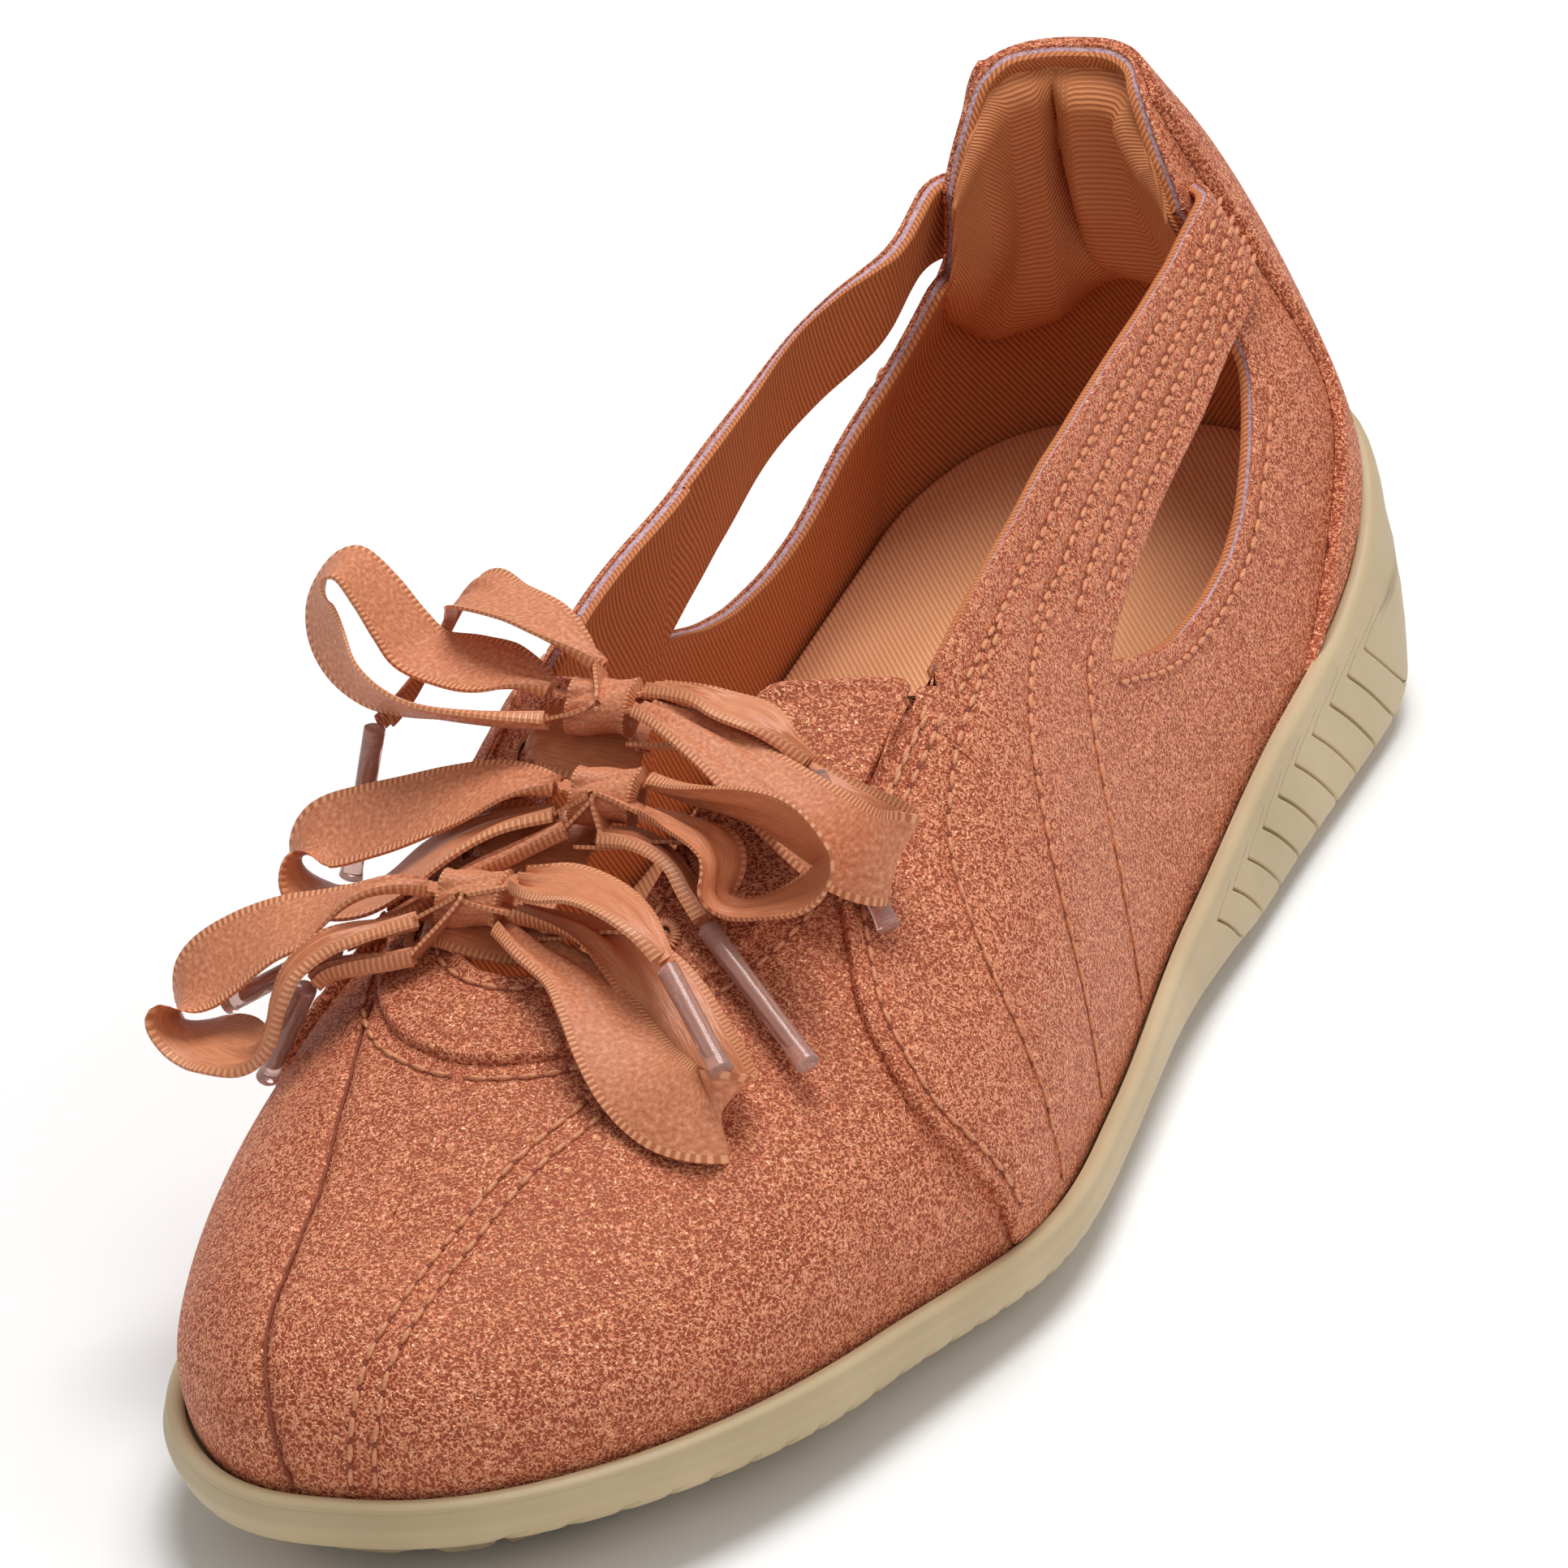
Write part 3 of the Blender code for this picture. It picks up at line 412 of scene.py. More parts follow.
def resample(points, spacing):
    """Even points along a polyline, spacing millimetres apart."""
    points = np.asarray(points, float)
    run = np.concatenate(([0], np.cumsum(np.linalg.norm(np.diff(points, axis=0), axis=-1))))
    count = max(2, int(round(run[-1] / spacing)) + 1)
    even = np.linspace(0, run[-1], count)
    return np.stack([np.interp(even, run, points[:, k]) for k in range(points.shape[1])], -1)


# ---------------------------------------------------------------- lines on the upper, as (u, rise)

def line_on(side, rows, axis, steps=8):
    """A line given by rows of place and, for axis 0 or 2, across or height."""
    rows = catmull(rows, steps)
    return np.stack(locate(side, rows[:, 0], rows[:, 1], axis), -1)


def line_beside(side, rows, steps=8):
    """A line given by rows of place and half width from the middle line."""
    return line_on(side, [(place, middle_at(place) + side * half) for place, half in rows], 0, steps)


# ---------------------------------------------------------------- the upper

TEXTILE, FOAM, LINING = range(3)
RIM = (
    # how far past the edge, share of the wall, slot
    (0.0, 0.0, TEXTILE), (0.22, 0.06, TEXTILE), (0.3, 0.2, TEXTILE), (0.05, 0.3, TEXTILE),
    (0.0, 0.36, FOAM), (0.06, 0.46, FOAM), (0.0, 0.56, FOAM),
    (0.14, 0.6, LINING), (0.32, 0.74, LINING), (0.24, 0.94, LINING), (0.0, 1.0, LINING),
)
RIM_BELOW = 0.004        # rise between an edge and the row that its rim turns away from
WALL_RUNS, STRAP_RUNS, TAB_RUNS = 40, 50, 46     # rows of points up each panel
STRAP_FIRST_U = 0.15     # where the strap starts, inside the heel tab
STRAP_LIFT = 1.3         # how far the strap's rear end stands off the heel tab it passes
STRAP_OFF, STRAP_ON = (16, 24), (28, 52)         # places over which it leaves the form and comes back to it
STRAP_UNTUCK, UNTUCKED = (15, 27), 0.6           # places over which it leaves the tuck, and by what share
STRAP_SWELLS = ((2.2, 62, 20), (0.8, 106, 14))   # on the medial side: height, place, reach
STRAP_TIP, STRAP_TIP_RISE = (82, 98), 0.6        # the lift fades here, up to this share of the strap's width
TUCK_LATERAL, TUCK_MEDIAL = 4.6, 5.3             # how far the collar's wall lies inside the strap
TUCK_TOP, TUCK_SPAN = 79, 21.5                   # the medial tuck fades over this span below this height
TUCK_IN, TUCK_OUT = (4, 22), (34, 52)            # places over which the tuck starts and ends
TUCK_UP, TUCK_BESIDE = (36, 66), (1, 11)         # the same for heights and for distances from the middle
TROUGHS = []             # lines that pull the textile down: (points, depth, half width)


def trough(points, normal):
    """Points pressed in along the lines of stitching, as the thread pulls the cloth."""
    if not TROUGHS:
        return points
    lines = np.concatenate([line for line, _, _ in TROUGHS])
    depths = np.concatenate([np.full(len(line), depth) for line, depth, _ in TROUGHS])
    widths = np.concatenate([np.full(len(line), width) for line, _, width in TROUGHS])
    tree = KDTree(len(lines))
    for i, point in enumerate(lines):
        tree.insert(point, i)
    tree.balance()
    flat = points.reshape(-1, 3)
    down = np.zeros(len(flat))
    for k, point in enumerate(flat):
        _, i, away = tree.find(point)
        if away < 3 * widths[i]:
            down[k] = depths[i] * math.exp(-(away / widths[i]) ** 2)
    return points - normal * down.reshape(points.shape[:-1])[..., None]


def rim_of(shell, outer, inner, edge, side):
    """Closes one edge of a patch. edge is low, high, start or end of the rows or the columns."""
    if edge in ("start", "end"):
        outer, inner = np.swapaxes(outer, 0, 1), np.swapaxes(inner, 0, 1)
    at_edge, within = (0, 1) if edge in ("low", "start") else (-1, -2)
    line, far = outer[at_edge], inner[at_edge]
    along = unit(np.gradient(line, axis=0))
    away = line - outer[within]
    away = unit(away - along * (away * along).sum(-1, keepdims=True))
    turn = (edge in ("high", "start")) == (side > 0)
    rows = np.stack([line + (far - line) * share + away * past for past, share, _ in RIM])
    for slot in (TEXTILE, FOAM, LINING):
        own = [k for k, row in enumerate(RIM) if row[2] == slot]
        if slot != TEXTILE:
            own = [own[0] - 1] + own
        shell.grid(rows[own], slot, flip=turn)


def worn(points, normal):
    """The cloth's outer points, with the lines that thread pulls in and its creases."""
    return creased(trough(points, normal), normal)


def patch(shell, u, rise, side, lift=0.0, wall=WALL, rims=(), thin=3):
    """One panel of the upper: textile outside, lining inside, cut edges where they are named."""
    sides = sided(u, side)
    lift = np.broadcast_to(lift, u.shape)
    base = offset(u, rise, sides, lift)
    outer = worn(base, normals(u, rise, sides))
    inner = offset(u, rise, sides, lift - np.broadcast_to(wall, u.shape))
    rows = sorted({*range(0, len(u), thin), len(u) - 1})
    if "start" in rims or "end" in rims:
        rows = list(range(len(u)))
    chart = run_chart(base)
    shell.grid(outer, TEXTILE, chart, flip=side > 0)
    shell.grid(inner[rows], LINING, chart[rows], flip=side < 0)
    for edge in rims:
        rim_of(shell, outer, inner, edge, side)


CREASES = (
    # place across length width depth turn: soft hollows (positive) and swells (negative) of the worn-in
    # cloth; each runs along its turn from the shoe's length
    (150.0, 30.0, 22.0, 5.0, 0.5, 70.0),
    (168.0, 33.0, 20.0, 4.0, 0.45, 60.0),
    (192.0, 18.0, 26.0, 5.0, -0.35, 35.0),
    (205.0, 10.0, 24.0, 5.0, 0.35, 55.0),
    (212.0, 24.0, 26.0, 6.0, 0.3, 40.0),
    (198.0, -24.0, 22.0, 5.0, 0.35, -50.0),
    (214.0, -18.0, 26.0, 6.0, 0.4, -70.0),
    (160.0, -30.0, 22.0, 5.0, 0.4, -70.0),
    (228.0, -4.0, 26.0, 5.0, 0.35, 80.0),
    (231.0, -20.0, 20.0, 5.0, 0.3, -60.0),
)
CREASE_FACING = 1.6      # how soon a crease reaches its full depth as the cloth turns upwards


def creased(points, normal):
    """Points moved by the soft hollows and swells of CREASES, seen from above."""
    down = np.zeros(points.shape[:-1])
    for place, across, length, width, depth, turn in CREASES:
        turn = math.radians(turn)
        far = points[..., 1] - place
        over = points[..., 0] - across
        along = far * math.cos(turn) + over * math.sin(turn)
        beside = -far * math.sin(turn) + over * math.cos(turn)
        down += depth * np.exp(-(along / length * 2) ** 2 - (beside / width) ** 2)
    facing = np.clip(normal[..., 2] * CREASE_FACING, 0, 1)
    return points - normal * (down * facing)[..., None]


COLUMN_RUNS = (
    # first place, last place, stations: closest at the window's tip and the throat's ends
    (50, 96, 32), (96, 101, 12), (101, 136, 22), (136, 148, 30), (148, 177, 22), (177, 186.4, 34),
    (187.5, 236, 52),
)
HEEL_COLUMNS, TOE_COLUMNS = (0.0, 0.3, 95), (0.88, 1.0, 22)      # first u, last u, stations


def columns():
    """Stations along the upper."""
    parts = [np.linspace(*HEEL_COLUMNS), np.linspace(*TOE_COLUMNS)]
    parts += [u_at(np.linspace(*run)) for run in COLUMN_RUNS]
    return np.unique(np.round(np.concatenate(parts), 5))


def quarter_rule(points):
    return smooth(QUARTER_TOP, 1, points[..., 1]) - points[..., 2]


def strap_low_rule(points):
    return smooth(STRAP_BOTTOM, 1, points[..., 1]) - points[..., 2]


def collar_rule(points):
    """Positive below the strap's top edge and outside the throat."""
    place = points[..., 1]
    far = 99.0
    below = np.where(place < STRAP_ENDS, smooth(STRAP_TOP, 1, place) - points[..., 2], far)
    beside = np.abs(points[..., 0] - middle_at(place)) - smooth(THROAT, 1, place)
    beside = np.where(place > THROAT_STARTS, beside, far)
    return np.minimum(below, beside)


def tab_fall(share):
    """How far the tab's top edge has come down, where share runs from the middle line to its front edge."""
    return TAB_FALL * np.clip((share - TAB_FLAT) / (1 - TAB_FLAT), 0, 1) ** 2


def tucked(points, side):
    """How far the collar's wall lies inside the form where the strap passes outside it."""
    place, height = points[..., 1], points[..., 2]
    around = ease(place, *TUCK_IN) * (1 - ease(place, *TUCK_OUT)) * ease(height, *TUCK_UP)
    around = around * ease(np.abs(points[..., 0] - middle_at(place)), *TUCK_BESIDE)
    medial = TUCK_MEDIAL * np.clip((TUCK_TOP - height) / TUCK_SPAN, 0, 1)
    return around * np.where(np.asarray(side) > 0, TUCK_LATERAL, medial)


def tucked_at(u, rise, side):
    return tucked(surface(u, rise, sided(u, side)), side)


def stretch(u, low, high, count, closer=0.0):
    """Rows of rise from low to high for each column of u, closer together near both edges."""
    t = np.linspace(0, 1, count)
    t = t + closer * np.sin(2 * np.pi * t) / (2 * np.pi)
    return np.broadcast_to(u, (count, len(u))), low + (high - low) * t[:, None]


def lay_lower_wall(shell, side, u, low, tip, front):
    """Heel, quarters and the vamp's sides, with the cut edge below the side window."""
    wall_u, wall_rise = stretch(u, np.zeros(len(u)), low, WALL_RUNS)
    inset = -tucked_at(wall_u, wall_rise, side)
    patch(shell, wall_u[:, :tip + 1], wall_rise[:, :tip + 1], side, inset[:, :tip + 1])
    free = np.flatnonzero(u > front)[0] - 1
    edge_u = np.broadcast_to(u[free:tip + 1], (2, tip + 1 - free))
    edge_rows = np.stack((low[free:tip + 1] - RIM_BELOW, low[free:tip + 1]))
    sides = sided(edge_u, side)
    inset = -tucked_at(edge_u, edge_rows, side)
    outer = worn(offset(edge_u, edge_rows, sides, inset), normals(edge_u, edge_rows, sides))
    rim_of(shell, outer, offset(edge_u, edge_rows, sides, inset - WALL), "high", side)
    patch(shell, wall_u[:, tip:], wall_rise[:, tip:], side)


def lay_strap(shell, side, u, low, tip):
    """The strap over the window, and the vamp's top from the window's tip to the toe."""
    start = np.flatnonzero(u >= STRAP_FIRST_U)[0]
    top = edge_rise(u, side, collar_rule, low=0.3)
    under = np.where(np.arange(len(u)) < tip, edge_rise(u, side, strap_low_rule), low)
    here = surface(u, (under + top) / 2, sided(u, side))
    place = here[:, 1]
    lift = STRAP_LIFT * ease(place, *STRAP_OFF) * (1 - ease(place, *STRAP_ON))
    lift -= tucked(here, side) * (1 - UNTUCKED * ease(place, *STRAP_UNTUCK))
    if side < 0:
        lift += sum(high * bell(place, middle, reach) for high, middle, reach in STRAP_SWELLS)
    strap_u, strap_rise = stretch(u[start:], under[start:], top[start:], STRAP_RUNS, closer=0.35)
    risen = ease(np.linspace(0, 1, STRAP_RUNS), 0, STRAP_TIP_RISE)[:, None]
    lift = lift * (1 - ease(place, *STRAP_TIP) * (1 - risen))
    cut = tip - start
    closed = np.flatnonzero(top[start:] >= 1.0)[0]
    free = lift[:, start:tip + 1]
    patch(shell, strap_u[:, :cut + 1], strap_rise[:, :cut + 1], side, free,
          WALL - 0.5 * np.maximum(free, 0), ("low", "high", "start"), thin=1)
    patch(shell, strap_u[:, cut:closed + 1], strap_rise[:, cut:closed + 1], side,
          lift[:, tip:start + closed + 1], rims=("high",))
    patch(shell, strap_u[:, closed:], strap_rise[:, closed:], side)


def lay_tab(shell, side, share):
    """The heel tab, on columns at shares of the way from the middle line to its front edge."""
    rows = np.linspace(0, 1, TAB_RUNS)
    height = TAB_LOW + rows[:, None] * (TAB_HIGH - tab_fall(share) - TAB_LOW)
    edge_height = TAB_LOW + rows * (TAB_HIGH - TAB_FALL - TAB_LOW)
    u = share * place_u(side, edge_height, TAB_FRONT, TAB_MOST_U)[:, None]
    sides = sided(u, side)
    rise = rise_at(u, sides, height - feather(u, sides)[2])
    patch(shell, u, rise, side, -tucked_at(u, rise, side), rims=("high", "end"), thin=1)


def build_upper(looks):
    shell = Shell()
    for side in (1, -1):
        u = columns()
        front = float(place_u(side, [TAB_LOW], TAB_FRONT, TAB_MOST_U)[0])
        u = np.unique(np.concatenate((u[np.abs(u - front) > 5e-4], [front])))
        low = edge_rise(u, side, quarter_rule)
        tip = np.argmin(np.abs(surface(u, low, sided(u, side))[:, 1] - TIP_PLACE))
        lay_lower_wall(shell, side, u, low, tip, front)
        lay_strap(shell, side, u, low, tip)
        lay_tab(shell, side, u[u <= front] / front)
    return shell.make("upper_cloth", looks)


# ---------------------------------------------------------------- finishes

def new_look(name, colour, roughness, metallic=0.0):
    look = bpy.data.materials.new(name)
    look.use_nodes = True
    shader = look.node_tree.nodes["Principled BSDF"]
    shader.inputs["Base Color"].default_value = (*colour, 1)
    shader.inputs["Roughness"].default_value = roughness
    shader.inputs["Metallic"].default_value = metallic
    return look, look.node_tree, shader


PROPERTIES = ("operation", "data_type", "wave_type", "bands_direction", "wave_profile", "uv_map")


def node(tree, kind, links=(), **values):
    """A shader node. links are (input name or index, output socket); values set its properties."""
    made = tree.nodes.new(kind)
    for key, value in values.items():
        if key in PROPERTIES:
            setattr(made, key, value)
        else:
            made.inputs[key.replace("_", " ")].default_value = value
    for name, socket in links:
        tree.links.new(socket, made.inputs[name])
    return made


def noise(tree, vector, scale, detail):
    return node(tree, "ShaderNodeTexNoise", links=[("Vector", vector)], Scale=scale, Detail=detail)


def bands(tree, vector, pitch, **values):
    """Parallel bands, pitch metres from one to the next."""
    return node(tree, "ShaderNodeTexWave", links=[("Vector", vector)], wave_type="BANDS",
                Scale=2 * math.pi / (20 * pitch), **values)


def mapped(tree, socket, **limits):
    return node(tree, "ShaderNodeMapRange", links=[(0, socket)], **limits).outputs[0]


def press(tree, shader, socket, strength, distance):
    """Bumps on a look from a socket of heights, distance in metres."""
    bump = node(tree, "ShaderNodeBump", links=[("Height", socket)], Strength=strength, Distance=distance)
    tree.links.new(bump.outputs[0], shader.inputs["Normal"])


def ramp(tree, socket, stops):
    made = tree.nodes.new("ShaderNodeValToRGB")
    while len(made.color_ramp.elements) < len(stops):
        made.color_ramp.elements.new(0.5)
    for element, (place, colour) in zip(made.color_ramp.elements, stops):
        element.position = place
        element.color = (*colour, 1) if len(colour) == 3 else colour
    tree.links.new(socket, made.inputs["Fac"])
    return made.outputs["Color"]


def grain_group():
    """Crinkled cloth: short winding ridges close together, from the piece's own coordinates."""
    group = bpy.data.node_groups.new("crinkled_grain", "ShaderNodeTree")
    face = group.interface
    face.new_socket("Vector", in_out="INPUT", socket_type="NodeSocketVector")
    size = face.new_socket("Cell size", in_out="INPUT", socket_type="NodeSocketFloat")
    size.default_value = 0.0005
    for name in ("Height", "Glint", "Mottle"):
        face.new_socket(name, in_out="OUTPUT", socket_type="NodeSocketFloat")
    into, out = group.nodes.new("NodeGroupInput"), group.nodes.new("NodeGroupOutput")
    rate = node(group, "ShaderNodeMath", operation="DIVIDE", links=[(1, into.outputs["Cell size"])])
    rate.inputs[0].default_value = 1.0
    scaled = node(group, "ShaderNodeVectorMath", operation="SCALE",
                  links=[(0, into.outputs["Vector"]), ("Scale", rate.outputs[0])]).outputs[0]
    warp = noise(group, scaled, 1.1, 1.0)
    bent = node(group, "ShaderNodeVectorMath", operation="MULTIPLY_ADD",
                links=[(0, warp.outputs["Color"]), (2, scaled)])
    bent.inputs[1].default_value = (1.3, 1.3, 1.3)
    bent = bent.outputs[0]
    winding = noise(group, bent, 1.0, 0.6)
    centred = node(group, "ShaderNodeMath", operation="SUBTRACT", links=[(0, winding.outputs["Fac"])])
    centred.inputs[1].default_value = 0.5
    far = node(group, "ShaderNodeMath", operation="ABSOLUTE", links=[(0, centred.outputs[0])])
    ridge = mapped(group, far.outputs[0], From_Min=0.0, From_Max=0.13, To_Min=1.0, To_Max=0.0)
    fine_grain = noise(group, scaled, 2.6, 1.0)
    height = node(group, "ShaderNodeMix", data_type="FLOAT",
                  links=[(2, ridge), (3, fine_grain.outputs["Fac"])])
    height.inputs[0].default_value = 0.3
    spots = mapped(group, noise(group, bent, 2.1, 0.0).outputs["Fac"], From_Min=0.5, From_Max=0.66)
    # Glint: bright spots along the ridges, which the textile look paints into its colour as highlights
    glint = node(group, "ShaderNodeMath", operation="MULTIPLY", links=[(0, spots), (1, ridge)])
    broad = noise(group, scaled, 0.05, 2.0)
    made = (("Height", height.outputs[0]), ("Glint", glint.outputs[0]), ("Mottle", broad.outputs["Fac"]))
    for name, socket in made:
        group.links.new(socket, out.inputs[name])
    return group


def textile_look(grain):
    look, tree, shader = new_look("crinkled_metallic_textile", (0.5, 0.18, 0.11), 0.5, 0.0)
    place = node(tree, "ShaderNodeTexCoord")
    group = tree.nodes.new("ShaderNodeGroup")
    group.node_tree = grain
    tree.links.new(place.outputs["Object"], group.inputs["Vector"])
    height, glint = group.outputs["Height"], group.outputs["Glint"]
    # Colour follows the crinkle's height: the cloth's rose-orange, with painted shade in the troughs and
    # painted highlight along the ridges
    shade = ramp(tree, height, [
        (0.12, (0.30, 0.058, 0.024)), (0.4, (0.55, 0.145, 0.066)), (0.7, (0.78, 0.26, 0.13)),
        (0.9, (0.92, 0.40, 0.215)),
    ])
    # Painted glints: where the glint mask is high the base colour turns to a bright highlight colour; the same
    # mask also raises metallic and lowers roughness
    painted_glints = node(tree, "ShaderNodeMix", data_type="RGBA", links=[(0, glint), (6, shade)])
    painted_glints.inputs[7].default_value = (1.0, 0.56, 0.34, 1)
    tree.links.new(painted_glints.outputs[2], shader.inputs["Base Color"])
    tree.links.new(mapped(tree, glint, To_Min=0.2, To_Max=0.7), shader.inputs["Metallic"])
    tree.links.new(mapped(tree, glint, To_Min=0.6, To_Max=0.36), shader.inputs["Roughness"])
    press(tree, shader, height, 0.6, 0.0003)
    shader.inputs["Specular IOR Level"].default_value = 0.25
    return look


def twill_look(name, colour, dark, pitch=0.00065, turn=35.0):
    """Diagonal ribs of a twill on the piece's own map."""
    look, tree, shader = new_look(name, colour, 0.62)
    place = node(tree, "ShaderNodeUVMap", uv_map="cloth")
    turned = node(tree, "ShaderNodeMapping", links=[("Vector", place.outputs[0])])
    turned.inputs["Rotation"].default_value = (0, 0, math.radians(turn))
    ribs = bands(tree, turned.outputs[0], pitch, bands_direction="X", wave_profile="SIN", Distortion=0.6,
                 Detail=1.0, Detail_Scale=3.0).outputs["Fac"]
    light = tuple(min(1, c * 1.18) for c in colour)
    tree.links.new(ramp(tree, ribs, [(0.0, dark), (0.75, colour), (1.0, light)]), shader.inputs["Base Color"])
    press(tree, shader, ribs, 0.7, 0.00018)
    shader.inputs["Specular IOR Level"].default_value = 0.25
    return look


def mottled_look(name, colour, roughness, scale, detail, stops, bump):
    """A look whose colour and bumps follow one noise over the piece. bump is (strength, distance)."""
    look, tree, shader = new_look(name, colour, roughness)
    place = node(tree, "ShaderNodeTexCoord")
    fuzz = noise(tree, place.outputs["Object"], scale, detail).outputs["Fac"]
    if stops:
        tree.links.new(ramp(tree, fuzz, stops), shader.inputs["Base Color"])
    press(tree, shader, fuzz, *bump)
    return look


def foam_look():
    return mottled_look("laminated_foam_edge", (0.55, 0.42, 0.52), 0.9, 2600.0, 2.0,
                        [(0.3, (0.34, 0.17, 0.18)), (0.6, (0.62, 0.44, 0.50))], (0.8, 0.0002))


def rubber_look():
    look, tree, shader = new_look("gum_rubber", (0.55, 0.43, 0.26), 0.55)
    place = node(tree, "ShaderNodeTexCoord").outputs["Object"]
    dust = noise(tree, place, 1400.0, 3.0).outputs["Fac"]
    broad = noise(tree, place, 45.0, 2.0).outputs["Fac"]
    shade = ramp(tree, broad, [(0.3, (0.47, 0.355, 0.20)), (0.7, (0.57, 0.44, 0.265))])
    tree.links.new(shade, shader.inputs["Base Color"])
    tree.links.new(mapped(tree, dust, To_Min=0.42, To_Max=0.62), shader.inputs["Roughness"])
    press(tree, shader, dust, 0.12, 0.0002)
    return look


def thread_look():
    return mottled_look("sewing_thread", (0.60, 0.27, 0.13), 0.5, 3500.0, 1.0,
                        [(0.3, (0.54, 0.18, 0.08)), (0.7, (0.80, 0.36, 0.18))], (0.5, 0.0001))


RIBBON_RIBS = 0.00066                  # pitch of the ribs along a ribbon's edges, in metres
RIBBON_EDGE = (0.00425, 0.0044)        # how far from its middle those edges start


def ribbon_look(name, colour, dark, light, sheen, weave):
    """Woven ribbon with ribbed edges; its map runs along it, and across it from its middle line."""
    look, tree, shader = new_look(name, colour, 0.4)
    place = node(tree, "ShaderNodeUVMap", uv_map="cloth").outputs[0]
    parts = node(tree, "ShaderNodeSeparateXYZ", links=[(0, place)])
    out = node(tree, "ShaderNodeMath", operation="ABSOLUTE", links=[(0, parts.outputs[1])])
    edge = mapped(tree, out.outputs[0], From_Min=RIBBON_EDGE[0], From_Max=RIBBON_EDGE[1])
    ribs = bands(tree, place, RIBBON_RIBS, bands_direction="X", wave_profile="SIN")
    crisp = mapped(tree, ribs.outputs["Fac"], From_Min=0.25, From_Max=0.75)
    grain = node(tree, "ShaderNodeMapping", links=[("Vector", place)], Scale=weave)
    woven = noise(tree, grain.outputs[0], 1.0, 2.0).outputs["Fac"]
    body = ramp(tree, woven, [(0.3, dark), (0.55, colour), (0.75, light)])
    rib = ramp(tree, crisp, [(0.0, dark), (1.0, (0.80, 0.36, 0.18))])
    both = node(tree, "ShaderNodeMix", data_type="RGBA", links=[(0, edge), (6, body), (7, rib)])
    tree.links.new(both.outputs[2], shader.inputs["Base Color"])
    height = node(tree, "ShaderNodeMix", data_type="FLOAT", links=[(0, edge), (2, woven), (3, crisp)])
    press(tree, shader, height.outputs[0], 0.55, 0.0002)
    shader.inputs["Roughness"].default_value = sheen
    shader.inputs["Specular IOR Level"].default_value = 0.35
    return look


def clear_look():
    look = mottled_look("clear_tip_plastic", (0.86, 0.62, 0.56), 0.12, 600.0, 1.0, (), (0.25, 0.0003))
    shader = look.node_tree.nodes["Principled BSDF"]
    shader.inputs["Transmission Weight"].default_value = 0.75
    shader.inputs["IOR"].default_value = 1.42
    return look


def label_look():
    look, tree, shader = new_look("white_label_satin", (0.86, 0.85, 0.87), 0.6)
    place = node(tree, "ShaderNodeUVMap", uv_map="cloth")
    weave = bands(tree, place.outputs[0], 0.0004, bands_direction="Y")
    press(tree, shader, weave.outputs["Fac"], 0.4, 0.0001)
    return look


# ---------------------------------------------------------------- floor, light and camera

CAMERA_TURN, CAMERA_RISE, CAMERA_ROLL = 24.07, 25.95, -7.45     # degrees
CAMERA_AIM = (-2.2 * MM, -2.1 * MM, 35.0 * MM)
CAMERA_AWAY = 1.3                      # metres
CAMERA_LENS, CAMERA_WIDTH = 263.3, 36.0
FRAME_SIDE = 1932.0
AIM_RIGHT, AIM_DOWN = 0.3, 36.7        # where the aim lands beside the frame's middle
LIGHT_AIM = (0, 0, 0.03)
FLOOR_HALF = 6.0                       # metres


def set_camera():
    turn, rise, roll = (math.radians(v) for v in (CAMERA_TURN, CAMERA_RISE, CAMERA_ROLL))
    back = Vector((math.sin(turn) * math.cos(rise), -math.cos(turn) * math.cos(rise), math.sin(rise)))
    right = (-back).cross(Vector((0, 0, 1))).normalized()
    down = (-back).cross(right)
    right, down = (
        right * math.cos(roll) - down * math.sin(roll),
        right * math.sin(roll) + down * math.cos(roll),
    )
    lens = bpy.data.cameras.new("camera")
    lens.sensor_width = CAMERA_WIDTH
    lens.lens = CAMERA_LENS
    lens.shift_x = -AIM_RIGHT / FRAME_SIDE
    lens.shift_y = AIM_DOWN / FRAME_SIDE
    lens.clip_start, lens.clip_end = 0.05, 20.0
    made = bpy.data.objects.new("camera", lens)
    axes = Matrix((right, -down, back)).transposed().to_4x4()
    made.matrix_world = Matrix.Translation(Vector(CAMERA_AIM) + back * CAMERA_AWAY) @ axes
    bpy.context.scene.collection.objects.link(made)
    bpy.context.scene.camera = made


def area_light(name, place, power):
    light = bpy.data.lights.new(name, "AREA")
    light.shape = "DISK"
    light.size = 1.0
    light.energy = power
    made = bpy.data.objects.new(name, light)
    made.location = place
    made.rotation_euler = (Vector(LIGHT_AIM) - Vector(place)).to_track_quat("-Z", "Y").to_euler()
    bpy.context.scene.collection.objects.link(made)


def set_studio():
    scene = bpy.context.scene
    scene.view_settings.view_transform = "Standard"
    scene.view_settings.look = "None"
    world = bpy.data.worlds.new("studio")
    world.use_nodes = True
    backdrop = world.node_tree.nodes["Background"]
    backdrop.inputs["Color"].default_value = (1, 1, 1, 1)
    backdrop.inputs["Strength"].default_value = 0.4
    scene.world = world
    area_light("key", (0.1, 0.45, 1.6), 22.0)
    area_light("fill", (1.1, -0.5, 0.8), 2.5)
    mesh = bpy.data.meshes.new("floor")
    corners = [(x * FLOOR_HALF, y * FLOOR_HALF, 0) for x, y in ((-1, -1), (1, -1), (1, 1), (-1, 1))]
    mesh.from_pydata(corners, [], [(0, 1, 2, 3)])
    floor = bpy.data.objects.new("floor", mesh)
    scene.collection.objects.link(floor)
    mesh.materials.append(new_look("pale_floor", (0.93, 0.93, 0.93), 0.9)[0])


# ---------------------------------------------------------------- rubber sole and what lies in it

